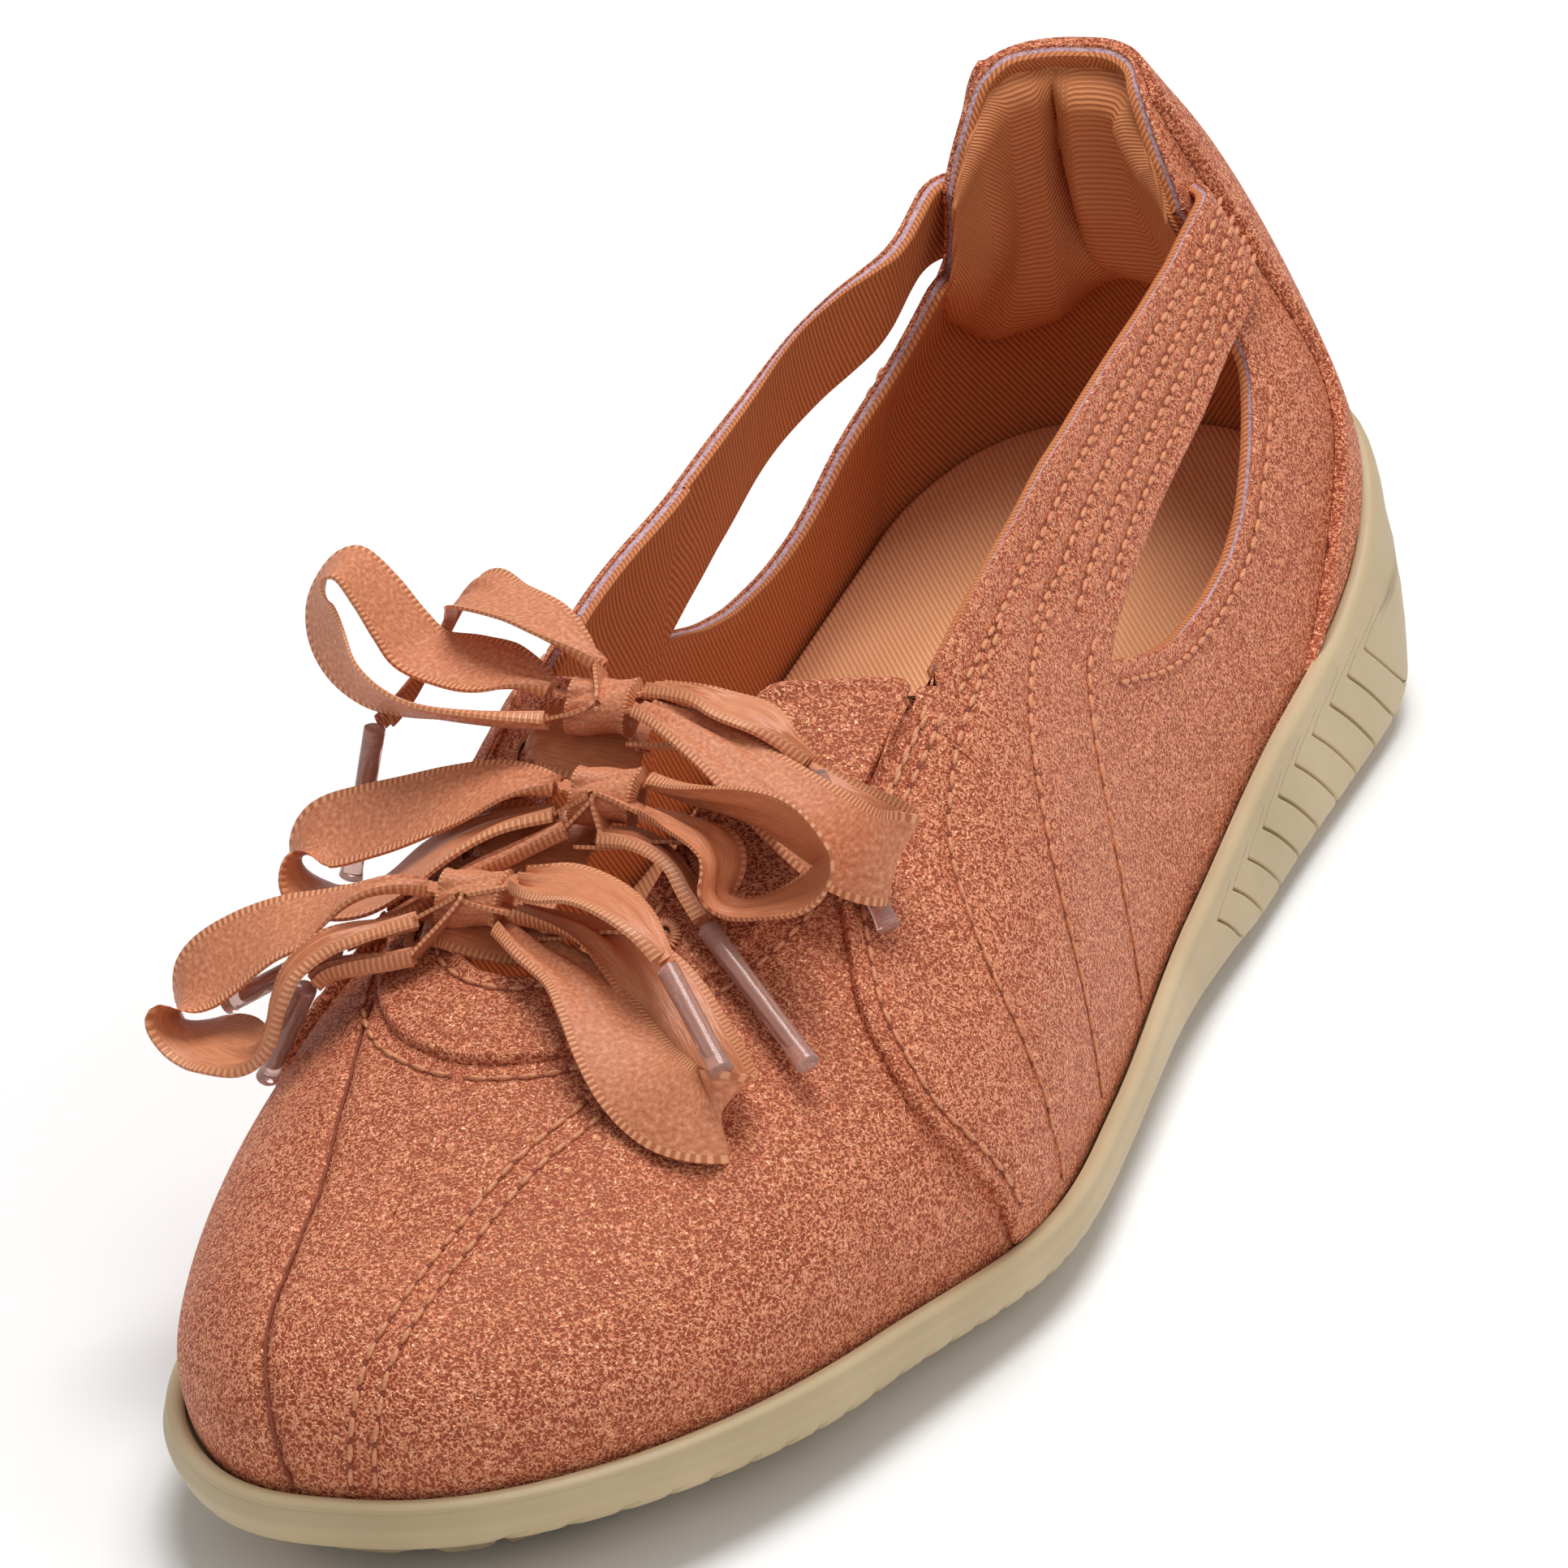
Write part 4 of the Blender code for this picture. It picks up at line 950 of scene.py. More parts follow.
CHAMFER_IN, CHAMFER_UP = 0.14, 0.72   # where the underside's slope turns up into the side
SOLE_SLITS = 10                       # shallow slits down the heel's side
SLIT_FIRST, SLIT_LAST = 24.0, 90.0    # their lower ends, as places
SLIT_LEAN = 1.0                       # how far a slit runs forward for each millimetre it climbs
SLIT_DEPTH, SLIT_WIDTH = 1.0, 0.21
SLIT_LOW, SLIT_HIGH = 3.6, 0.80       # where a slit starts, and the share of the wall it climbs
TREAD_PITCH, TREAD_DEPTH, TREAD_WIDTH = 4.4, 0.9, 0.55
TREAD_ZONES = ((146.0, 243.0), (26.0, 92.0))
TREAD_RINGS = (1, 13)                 # the underside's rings of points that the tread is cut into
SOLE_STATIONS, SLIT_STATIONS, TREAD_STATIONS = 81, 430, 200
SOLE_DROP = 0.8                       # how far the rubber's side ends below the feather edge
SOLE_BULGE = 0.35
UNDER_SHARES = (0.15, 0.35, 0.55, 0.75, 0.9, 1.0)        # rings from the spine to the underside's edge
CHAMFER_SHARES = (0.35, 0.7)
CORNER_BOW, CORNER_RINGS = 0.16, 6
SIDE_SHARES = (0.06, 0.95, 19)        # first, last and count of the rings up the rubber's side
LIP_RINGS = (
    # share of the cup's height, how far its outer face has drawn in
    (0.3, 0.02), (0.6, 0.0), (0.85, 0.12), (0.95, 0.3),
)
SLIT_FADE = 0.12                      # share of the wall over which a slit runs out


def round_stations(u):
    side = np.concatenate((np.ones(len(u)), -np.ones(len(u) - 2)))
    return np.concatenate((u, u[-2:0:-1])), side


def plan_normals(across, place):
    run_across = np.roll(across, -1) - np.roll(across, 1)
    run_place = np.roll(place, -1) - np.roll(place, 1)
    size = np.hypot(run_across, run_place)
    return run_place / size, -run_across / size


def press_slits(points, place, out_across, out_place, corner, floor):
    """Cuts shallow slits into the side's rings, which lean forward as they climb the heel."""
    pitch = (SLIT_LAST - SLIT_FIRST) / (SOLE_SLITS - 1)
    away = (place - SLIT_FIRST + pitch / 2) % pitch - pitch / 2
    within = ease(place, SLIT_FIRST - 2, SLIT_FIRST - 1) * (1 - ease(place, SLIT_LAST + 1, SLIT_LAST + 2))
    climb = (points[..., 2] - corner) / (floor - corner + 1e-6)
    within = within * (1 - ease(climb, SLIT_HIGH, SLIT_HIGH + SLIT_FADE))
    depth = SLIT_DEPTH * bell(away, 0, SLIT_WIDTH) * within
    points[..., 0] -= out_across * depth
    points[..., 1] -= out_place * depth


def press_tread(points):
    """Cuts the tread into the underside's rings, open at its edge."""
    cut = np.zeros(points.shape[:2])
    for start, end in TREAD_ZONES:
        away = (points[..., 1] - start + TREAD_PITCH / 2) % TREAD_PITCH - TREAD_PITCH / 2
        inside = ease(points[..., 1], start - 1, start) * (1 - ease(points[..., 1], end, end + 1))
        cut += TREAD_DEPTH * np.exp(-(away / TREAD_WIDTH) ** 4) * inside
    points[..., 2] += cut * np.clip(np.arange(*TREAD_RINGS) / 3, 0, 1)[:, None]


def build_outsole(look):
    by_slits = u_at(np.linspace(SLIT_FIRST - 6, SLIT_LAST + 16, SLIT_STATIONS))
    by_tread = u_at(np.linspace(*TREAD_ZONES[0], TREAD_STATIONS))
    stations = np.concatenate((np.linspace(0, 1, SOLE_STATIONS), by_slits, by_tread))
    u, side = round_stations(np.unique(np.round(stations, 5)))
    across, place, floor = feather(u, side)
    out_across, out_place = plan_normals(across, place)
    lip = smooth(CUP, 1, place)
    sole = [smooth(SOLE, column, place) for column in range(6)]
    edge = sole[OUTSET] + sole[FLARE]
    bottom = smooth(SOLE, BOTTOM, place)
    corner = bottom + sole[CORNER]
    spine = fan(place, SPINE_HEEL, SPINE_TOE, FAN_SOFT)
    spine_across = middle_at(spine)
    cup_wall = np.minimum(CUP_WALL, sole[OUTSET] - 0.1)

    def beside(distance, height, base=None):
        a, p = (across, place) if base is None else base
        return np.stack((a + out_across * distance, p + out_place * distance, height), -1)

    def under(share):
        a = spine_across + share * (across + out_across * (edge - sole[TUCK]) - spine_across)
        p = spine + share * (place + out_place * (edge - sole[TUCK]) - spine)
        return np.stack((a, p, smooth(SOLE, BOTTOM, p)), -1)

    def wall(height, distance):
        points = surface(u, rise_at(u, side, height), side)
        return beside(distance, points[:, 2], (points[:, 0], points[:, 1]))

    rings = [np.stack((spine_across, spine, smooth(SOLE, BOTTOM, spine)), -1)]
    rings += [under(share) for share in UNDER_SHARES]
    low_in, low_up = edge - CHAMFER_IN * sole[TUCK], bottom + CHAMFER_UP * sole[CORNER]
    for t in CHAMFER_SHARES:
        out = edge - sole[TUCK] + t * (low_in - edge + sole[TUCK])
        rings.append(beside(out, bottom + t * (low_up - bottom)))
    for t in np.linspace(0, 1, CORNER_RINGS):
        bow = 4 * t * (1 - t) * CORNER_BOW
        rings.append(beside(
            low_in + t * (edge - low_in) + bow * (edge - low_in),
            low_up + t * (corner - low_up) - bow * (corner - low_up),
        ))
    top = floor - SOLE_DROP
    slit_zone = ease(place, SLIT_FIRST - 22, SLIT_FIRST - 6)
    slit_zone = slit_zone * (1 - ease(place, SLIT_LAST + 4, SLIT_LAST + 34))
    for t in np.linspace(*SIDE_SHARES):
        # the rows of points lean as the slits do, so that each slit runs along them
        lean = SLIT_LEAN * (corner + (top - corner) * t - SLIT_LOW) * slit_zone * (1 - ease(t, 0.84, 1.0))
        a, p, level = feather(u_at(place + lean), side)
        out_a, out_p = plan_normals(a, p)
        out, flare, base = smooth(SOLE, OUTSET, p), smooth(SOLE, FLARE, p), smooth(SOLE, BOTTOM, p)
        base = base + smooth(SOLE, CORNER, p)
        distance = out + flare * (1 - t) + SOLE_BULGE * np.sin(np.pi * t)
        height = base + (level - SOLE_DROP - base) * t
        rings.append(np.stack((a + out_a * distance, p + out_p * distance, height), -1))
    first, last = 1 + len(UNDER_SHARES) + len(CHAMFER_SHARES), len(rings)
    rings.append(beside(sole[OUTSET] + 0.05, top))
    for share, back in LIP_RINGS:
        rings.append(wall(lip * share + (1 - share) * -0.4 - 0.25, cup_wall - back))
    rings += [wall(lip, cup_wall - 0.75), wall(lip + 0.05, cup_wall - 1.2), wall(lip - 0.05, CUP_GAP + 0.2),
              wall(lip - 0.5, CUP_GAP), wall(lip / 2, CUP_GAP), beside(CUP_GAP, floor - BED_DROP)]
    rings.append(np.stack((spine_across, spine, smooth(SECTIONS, FLOOR, spine) - BED_DROP), -1))
    grid = np.stack(rings)
    press_slits(grid[first:last], place, out_across, out_place, corner, floor)
    press_tread(grid[slice(*TREAD_RINGS)])
    shell = Shell()
    shell.grid(grid, 0, flip=True, round_columns=True)
    return shell.make("rubber_sole", [look], join=0.005)


INSOLE_THICK = 4.0
INSOLE_INSET = WALL + 0.45
INSOLE_DROP, INSOLE_DISH = 0.9, 0.5    # how far it lies below the feather edge, and dips in its middle
INSOLE_RIM = ((1.5, 0.0), (2.8, 0.0), (3.5, 0.25), (3.85, 0.7), (4.0, 1.4))    # height, more inset


def build_insole(look):
    u, side = round_stations(np.linspace(0, 1, 161))
    place = feather(u, side)[1]
    spine = fan(place, SPINE_HEEL, SPINE_TOE, FAN_SOFT)
    middle = middle_at(spine)
    floor = smooth(SECTIONS, FLOOR, spine)
    foot = offset(u, rise_at(u, side, 0.6), side, -INSOLE_INSET)
    foot[:, 2] = feather(u, side)[2] - INSOLE_DROP
    rings = [np.stack((middle, spine, floor - INSOLE_DROP), -1), foot]
    for height, more in INSOLE_RIM:
        rings.append(offset(u, rise_at(u, side, height), side, -INSOLE_INSET - more))
    rim = rings[-1]
    centre = np.stack((middle, spine, floor + INSOLE_THICK - INSOLE_DROP), -1)
    for t in (0.1, 0.2, 0.32, 0.45, 0.6, 0.75, 0.88, 1.0):
        bow = np.zeros(rim.shape)
        bow[:, 2] = -INSOLE_DISH * np.sin(np.pi * t)
        rings.append(rim + (centre - rim) * t + bow)
    grid = np.stack(rings)
    shell = Shell()
    shell.grid(grid, 0, grid[..., :2].copy(), flip=True, round_columns=True)
    return shell.make("sock_insole", [look], join=0.005)


# ---------------------------------------------------------------- heel counter and padded lining

COUNTER_OUT = 1.1
COUNTER_FRONT = (
    # height place
    (16.0, 53.0), (18.4, 47.2), (20.4, 42.4), (23.9, 34.7), (26.8, 26.6), (30.6, 19.1), (34.5, 16.2),
    (43.9, 15.2), (55.0, 15.0), (66.0, 16.2), (71.0, 17.0), (76.0, 17.2), (81.0, 16.6),
)
COUNTER_LOW, COUNTER_HIGH = 17.6, 79.6       # heights of its front edge's ends
COUNTER_TOP, COUNTER_FALL = 81.2, 1.6
COUNTER_MOST_U = 0.4
COUNTER_RUNS = 90
COUNTER_COLUMNS = ((0, 0.85, 40), (0.86, 0.97, 16), (0.975, 1, 12))    # shares of the way to the front edge
FOLD_HIGH, FOLD_BACK, FOLD_WIDE = 0.4, 1.3, 1.1                        # the swell along the folded edge


def build_counter(looks):
    """The heel's overlay, from the rubber to the tab's top, with a thick folded front edge."""
    shell = Shell()
    share = np.concatenate([np.linspace(*part) for part in COUNTER_COLUMNS])
    rows = np.linspace(0, 1, COUNTER_RUNS)
    for side in (1, -1):
        edge_height = COUNTER_LOW + (COUNTER_HIGH - COUNTER_LOW) * rows
        edge_u = place_u(side, edge_height, COUNTER_FRONT, COUNTER_MOST_U)
        u = edge_u[:, None] * share
        sides = sided(u, side)
        _, place, floor = feather(u, sides)
        foot = floor + smooth(CUP, 1, place) - 0.5
        top = COUNTER_TOP - COUNTER_FALL * share**3
        rise = rise_at(u, sides, foot + (top - foot) * rows[:, None] - floor)
        gap = (1 - share) * edge_u[:, None] * LENGTH * 1.35
        fold = FOLD_HIGH * bell(gap, FOLD_BACK, FOLD_WIDE)
        edge_tuck = COUNTER_OUT * (1 - quarter_round(gap, 1.0))
        low_in = 0.7 * (1 - ease(rows, 0, 0.03))[:, None]
        inset = tucked_at(u, rise, side)
        base = offset(u, rise, sides, COUNTER_OUT + fold * 1.2 - edge_tuck - low_in - inset)
        outer = trough(base, normals(u, rise, sides))
        inner = offset(u, rise, sides, 0.1 - inset)
        shell.grid(outer, TEXTILE, run_chart(base), flip=side > 0)
        for pick, turned in (((-1, WHOLE), side > 0), ((WHOLE, -1), side < 0)):
            line, far = outer[pick], inner[pick]
            shell.grid(np.stack((line, (line + far) / 2, far)), TEXTILE, flip=turned)
        shell.grid(inner[::3], LINING, flip=side < 0)
    return shell.make("heel_counter_cloth", looks)


PAD_HIGH = 79.8
PAD_REACH = 0.198        # u where the padding ends, just inside the tab's front edge
PAD_LOW = (
    # share of the way round (medial negative), height of the pad's lower edge
    (-1.0, 56.0), (-0.86, 50.0), (-0.7, 45.0), (-0.55, 41.2), (-0.27, 42.4), (0.0, 48.6), (0.3, 49.0),
    (0.7, 51.0), (1.0, 56.0),
)
PAD_PLEAT = (
    # height, share of the way round where the two cushions meet
    (45.0, 0.16), (48.7, 0.086), (53.6, -0.015), (61.3, -0.11), (70.7, -0.157), (79.6, -0.147),
)
PAD_MEDIAL = (
    # share of the way round, how thick the cushion swells
    (-1.0, 1.0), (-0.9, 3.0), (-0.7, 4.8), (-0.45, 7.6), (-0.25, 9.0), (0.2, 8.4),
)
PAD_LATERAL = ((-0.2, 8.6), (0.0, 10.2), (0.3, 10.2), (0.6, 7.6), (0.85, 4.4), (1.0, 1.0))
PAD_ROWS, PAD_COLUMNS = 100, 221
PAD_FOLD = 0.42          # share of the cushions' thickness left at the bottom of the pleat
PAD_END_FALL = 0.97      # share of the tab's half width that the padding reaches
PAD_BOTTOM, PAD_TOP = 0.26, 0.07             # shares of the height over which the cushions swell and end
PLEAT_MEDIAL, PLEAT_LATERAL = 0.16, 0.11     # how gently each cushion rolls into the pleat
PAD_THIN = 0.5


def build_pad(look):
    """The padded lining in the heel tab: two cushions that meet in a pleat down their middle."""
    shell = Shell()
    reach = np.linspace(-1, 1, PAD_COLUMNS)
    t = np.linspace(0, 1, PAD_ROWS)[:, None]
    far = np.abs(reach)
    u = np.broadcast_to(PAD_REACH * far, (PAD_ROWS, PAD_COLUMNS))
    side = np.broadcast_to(np.where(reach < 0, -1.0, 1.0), u.shape)
    low = smooth(PAD_LOW, 1, reach)
    high = PAD_HIGH - tab_fall(PAD_END_FALL * far)
    height = low + (high - low) * t
    rise = rise_at(u, side, height - feather(u, side)[2])
    inset = tucked(surface(u, rise, side), side)
    ends = (1 - far**8) ** 0.5
    bottom = quarter_round(t, PAD_BOTTOM)
    top = quarter_round(1 - t, PAD_TOP)
    medial = smooth(PAD_MEDIAL, 1, reach) * bottom * top * (0.40 + 0.60 * ease(1 - t, 0.0, 0.75))
    lateral = smooth(PAD_LATERAL, 1, reach) * bottom * top * (0.50 + 0.50 * ease(1 - t, 0.0, 0.55))
    apart = reach - smooth(PAD_PLEAT, 1, height)
    fold = PAD_FOLD * np.minimum(medial, lateral) + 0.9 * medial * (1 - PAD_FOLD) * (1 - ease(t, 0.2, 0.6))
    thick = np.where(apart < 0, fold + (medial - fold) * quarter_round(-apart, PLEAT_MEDIAL),
                     fold + (lateral - fold) * quarter_round(apart, PLEAT_LATERAL))
    thick = PAD_THIN + ends * thick
    wall = -(WALL - 0.3) - inset
    outer = offset(u, rise, side, wall)
    inner = offset(u, rise, side, wall - np.maximum(thick, 0.4))
    chart = run_chart(inner)
    shell.grid(outer[::3, ::4], 0, flip=True)
    shell.grid(inner, 0, chart)
    for pick, turned in GRID_EDGES:
        line, beside = outer[pick], inner[pick]
        shell.grid(np.stack((line, (line + beside) / 2, beside)), 0, flip=not turned)
    return shell.make("heel_padding", [look], join=0.02)


# ---------------------------------------------------------------- overlays and the lines they are sewn along

OVERLAY_THICK = 1.0
OVERLAY_ROUND, OVERLAY_COLUMNS, OVERLAY_RUNS = 0.9, 300, 34
OVERLAY_BELOW = 0.004    # rise that an overlay keeps below the collar's edge
U_PER_MM = 0.0029        # roughly, along the quarter
SADDLE_THICK = 1.3
SADDLE_DEEP = 22.0
SADDLE_EDGE = (
    # u rise, along the fold that ends the saddle over the vamp
    (0.534, 0.628), (0.549, 0.650), (0.571, 0.667), (0.590, 0.673), (0.607, 0.664), (0.627, 0.612),
    (0.646, 0.541), (0.658, 0.440), (0.663, 0.340), (0.660, 0.250), (0.650, 0.130), (0.640, 0.010),
)
SADDLE_FOLD = (
    # distance behind the fold's front, share of the saddle's thickness
    (0, -0.3), (0, 0.35), (0.06, 0.75), (0.2, 1.0), (0.45, 1.12), (0.8, 1.15), (1.2, 1.1), (1.7, 1.02),
    (2.3, 1.0), (2.9, 1.0), (3.5, 0.98), (4.3, 0.95), (5.3, 0.9), (6.6, 0.8), (8.2, 0.66), (10, 0.5),
    (12.5, 0.3), (15.5, 0.12), (19, -0.02), (22, -0.15),
)
SADDLE_LIP = (0.5, 1.0, 0.6)           # shares of a push that rolls the fold's front forward
SADDLE_PUSH = 0.25
EYESTAY_EDGE = {
    # place, half width from the middle line, from the tab's corner to the lobe's front
    1: ((138.1, 24.3), (142.0, 24.6), (150.2, 25.0), (160.0, 25.2), (169.4, 24.3), (176.4, 22.6),
        (184.0, 19.6), (189.5, 16.9), (194.0, 13.2), (197.0, 8.6), (198.4, 3.6), (198.6, 0.0)),
    -1: ((138.1, 24.0), (142.0, 24.2), (150.2, 24.2), (160.0, 23.6), (169.4, 22.0), (176.4, 19.6),
         (181.0, 17.4), (186.4, 15.8), (192.1, 11.9), (195.6, 8.0), (198.0, 3.4), (198.6, 0.0)),
}
TOE_SEAM = (
    # u rise, down the toe's medial side
    (0.673, 0.693), (0.700, 0.728), (0.727, 0.763), (0.765, 0.775), (0.814, 0.760), (0.872, 0.694),
    (0.915, 0.577), (0.942, 0.468), (0.962, 0.352), (0.974, 0.222), (0.983, 0.073), (0.985, 0.02),
)
TOE_BAND = (
    # u rise, down the toe's lateral side
    (0.700, 0.770), (0.712, 0.788), (0.727, 0.800), (0.765, 0.823), (0.814, 0.815), (0.855, 0.790),
    (0.896, 0.749), (0.930, 0.680), (0.953, 0.603), (0.971, 0.489), (0.978, 0.359), (0.982, 0.208),
    (0.984, 0.05),
)
FAN_ROWS = (
    # each row leaves the strap and runs down the quarter to the rubber: (place, height)
    ((118.0, 58.0), (135.0, 54.6), (145.7, 49.8), (154.0, 43.6), (160.5, 35.0), (163.0, 24.0), (162.5, 12.0)),
    ((106.0, 53.4), (118.0, 52.2), (128.0, 48.0), (136.0, 40.5), (141.0, 31.0), (142.6, 20.0), (142.0, 11.0)),
    ((99.0, 46.4), (105.0, 44.4), (112.0, 38.0), (117.5, 29.0), (120.0, 20.0), (120.5, 12.0)),
)
STRAP_SEAMS = (
    # share of the strap's width, place where the row ends
    (0.17, 92.0), (0.39, 100.0), (0.61, 112.0), (0.83, 134.0),
)
STRAP_SEAM_FIRST = 19.0  # place where those rows start
WINDOW_ROW = ((32.5, 46, 20), (47, 97, 50))      # first place, last place, points below the window
THROAT_ROW = 2.4         # how far the row round the throat lies from its edge
SHOULDER_ROW = 2.2
BAND_HALF = 1.35         # half the distance between the toe band's two rows
ROW_STEPS = 10           # points along a row from each of its table's rows to the next
TROUGH_PITCH = 0.5       # from one point to the next of a line that pulls the cloth down
STITCH_PITCH = 2.8
STITCH_LONG, STITCH_WIDE, STITCH_HIGH = 2.2, 0.64, 0.7
EDGE_ROW = 2.3           # how far a row of stitches lies from the edge it follows
SECOND_ROW = 2.0         # how far the lateral eyestay's second row lies from its first
SEWN = []                # (points along the row, outward normals, whether thread shows)


def points_of(line, side, lift=0.0):
    sides = sided(line[:, 0], side)
    return offset(line[:, 0], line[:, 1], sides, lift), normals(line[:, 0], line[:, 1], sides)


def beside_line(line, side, distance):
    """The line moved over the surface by a distance to its left, seen from outside, in (u, rise)."""
    points, normal = points_of(line, side)
    along = unit(np.gradient(points, axis=0))
    left = np.cross(normal, along) * distance
    step = 1e-4
    sides = sided(line[:, 0], side)
    du = (surface(line[:, 0] + step, line[:, 1], sides) - points) / step
    dr = (surface(line[:, 0], np.minimum(line[:, 1] + step, 1), sides) - points) / step
    a, b, c = (du * du).sum(-1), (du * dr).sum(-1), (dr * dr).sum(-1)
    p, q = (du * left).sum(-1), (dr * left).sum(-1)
    det = a * c - b * b
    moved = line + np.stack(((c * p - b * q) / det, (a * q - b * p) / det), -1)
    return np.clip(moved, 0.0, 1.0)


def sew(line, side, lift=0.0, depth=0.28, width=0.9, stitched=True):
    """Lays a row of stitches along a line and lets its thread pull the cloth down."""
    points, normal = points_of(line, side, lift)
    even = resample(np.concatenate((points, normal), 1), TROUGH_PITCH)
    TROUGHS.append((even[:, :3], depth, width))
    rows = resample(np.concatenate((points, normal), 1), STITCH_PITCH)
    SEWN.append((rows[:, :3], unit(rows[:, 3:]), stitched))


def strap_line(side, share, first, last):
    """A line along the strap at a share of its width, from its lower edge to its upper one."""
    place = np.linspace(first, last, 40)
    low, high = smooth(STRAP_BOTTOM, 1, place), smooth(STRAP_TOP, 1, place)
    return np.stack(locate(side, place, low + (high - low) * share, 2), -1)


def throat_line(side, past, first=146.6, last=185.35):
    """A line round the throat, past millimetres outside its edge."""
    place = np.concatenate((np.linspace(first, 178, 40), np.linspace(178.5, last, 26)))
    ahead = place + past * ease(place, 176.0, 185.4)
    half = smooth(THROAT, 1, place) + past * (1 - ease(place, 180.0, 185.6))
    return np.stack(locate(side, ahead, middle_at(ahead) + side * half, 0), -1)


def shoulder_rows(first, last, past=0.0):
    """The throat's own rows between two places, past millimetres outside its edge."""
    return [(place, half + past) for place, half in THROAT if first < place < last]


def lay_rows():
    for side in (1, -1):
        inside = -EDGE_ROW if side > 0 else EDGE_ROW     # to a line's left, so it turns with the side
        saddle = catmull(SADDLE_EDGE, ROW_STEPS)
        sew(beside_line(saddle[6:-4], side, inside), side, SADDLE_THICK)
        for share, last in STRAP_SEAMS:
            sew(strap_line(side, share, STRAP_SEAM_FIRST, last), side, 0.3, depth=0.5, width=1.1)
        for row in FAN_ROWS:
            sew(line_on(side, row, 2), side)
        place = np.concatenate([np.linspace(*part) for part in WINDOW_ROW])
        edge = np.stack(locate(side, place, smooth(QUARTER_TOP, 1, place), 2), -1)
        sew(beside_line(edge, side, inside), side)
        stay = line_beside(side, EYESTAY_EDGE[side])
        sew(beside_line(stay[2:-2], side, inside), side, OVERLAY_THICK)
        sew(throat_line(side, THROAT_ROW), side, OVERLAY_THICK)
        if side > 0:
            sew(beside_line(stay[1:30], side, inside - SECOND_ROW), side, OVERLAY_THICK)
        shoulder = line_beside(side, shoulder_rows(137.5, 146))
        sew(beside_line(shoulder, side, SHOULDER_ROW * side), side, OVERLAY_THICK)
    band = catmull(TOE_BAND, ROW_STEPS)
    for distance in (BAND_HALF, -BAND_HALF):
        sew(beside_line(band, 1, distance), 1, depth=0.3, width=0.7)
    # The toe seam gets no thread: its row becomes a strip of painted shade along the seam's groove
    sew(catmull(TOE_SEAM, ROW_STEPS), -1, depth=0.75, width=0.55, stitched=False)


def overlay_grid(outer_line, inner_line, side, across, lift, below=None):
    """Cloth over the surface between two lines of (u, rise); across runs 0 to 1 between them."""
    line = outer_line[None] + (inner_line - outer_line)[None] * across[:, None, None]
    u, rise = line[..., 0], np.clip(line[..., 1], 0, 1)
    if below is not None:
        room = edge_rise(u, side, below, low=0.0) - OVERLAY_BELOW - rise
        rise = rise + np.minimum(room, 0)
        lift = lift * ease(room, 0, 0.03) - 0.3 * (1 - ease(room, 0, 0.012))
    sides = sided(u, side)
    base = offset(u, rise, sides, lift)
    return base, worn(base, normals(u, rise, sides))


def build_saddle(looks):
    """The quarter's front edge: a thick fold lying over the vamp, sinking into the quarter behind it."""
    shell = Shell()
    away, high = np.array(SADDLE_FOLD, float).T
    for side in (1, -1):
        edge = catmull(SADDLE_EDGE, 22)
        inner = edge.copy()
        inner[:, 0] -= SADDLE_DEEP * U_PER_MM
        inner[:, 1] = np.clip(inner[:, 1] - 0.02, 0, 1)
        k, last = np.arange(len(edge)), len(edge) - 1
        fade = ease(k, 0, 34) * (1 - 0.5 * ease(k, last - 11, last))
        lift = SADDLE_THICK * high[:, None] * np.where(high[:, None] > 0, np.maximum(fade, 0.02), 1.0)
        base, outer = overlay_grid(edge, inner, side, away / SADDLE_DEEP, lift, collar_rule)
        push = unit(outer[0] - outer[6]) * SADDLE_PUSH
        outer[1:4] += push * np.array(SADDLE_LIP)[:, None, None]
        shell.grid(outer, TEXTILE, run_chart(base), flip=side < 0)
    return shell.make("saddle_edge_cloth", looks, join=0.002)


def even_line(line, side, spacing):
    """The line as rows of (u, rise) evenly apart over the surface, ending on the ridge."""
    points, _ = points_of(line, side)
    rows = resample(np.concatenate((points, line), 1), spacing)
    t = np.linspace(0, 1, OVERLAY_COLUMNS)
    rows = np.stack([np.interp(t, np.linspace(0, 1, len(rows)), rows[:, k]) for k in (3, 4)], -1)
    rows[-1, 1] = 1.0
    return rows


def build_eyestay(looks):
    """The overlay round the throat: two tabs behind, a round lobe in front, both sides in one piece."""
    shell = Shell()
    across = np.concatenate(([0.0], (1 - np.cos(np.pi * np.linspace(0, 1, OVERLAY_RUNS))) / 2))
    for side in (1, -1):
        stay = line_beside(side, EYESTAY_EDGE[side], 14)
        shoulder = line_beside(side, shoulder_rows(138, 146.5, 0.05), 10)
        outer_line = even_line(stay, side, 1.0)
        inner_line = even_line(np.concatenate((shoulder[:-1], throat_line(side, 0.05))), side, 0.4)
        width = np.linalg.norm(points_of(outer_line, side)[0] - points_of(inner_line, side)[0], axis=-1)
        near = np.minimum(across[:, None], 1 - across[:, None]) * width
        lift = OVERLAY_THICK * quarter_round(near, OVERLAY_ROUND)
        lift = lift + 0.16 * bell(near, 1.0, 0.7) * np.clip(width / 4, 0, 1)
        lift[0] = -0.3
        base, outer = overlay_grid(outer_line, inner_line, side, across, lift)
        shell.grid(outer, TEXTILE, run_chart(base), flip=side < 0)
    return shell.make("eyestay_cloth", looks, join=0.01)


# ---------------------------------------------------------------- stitches

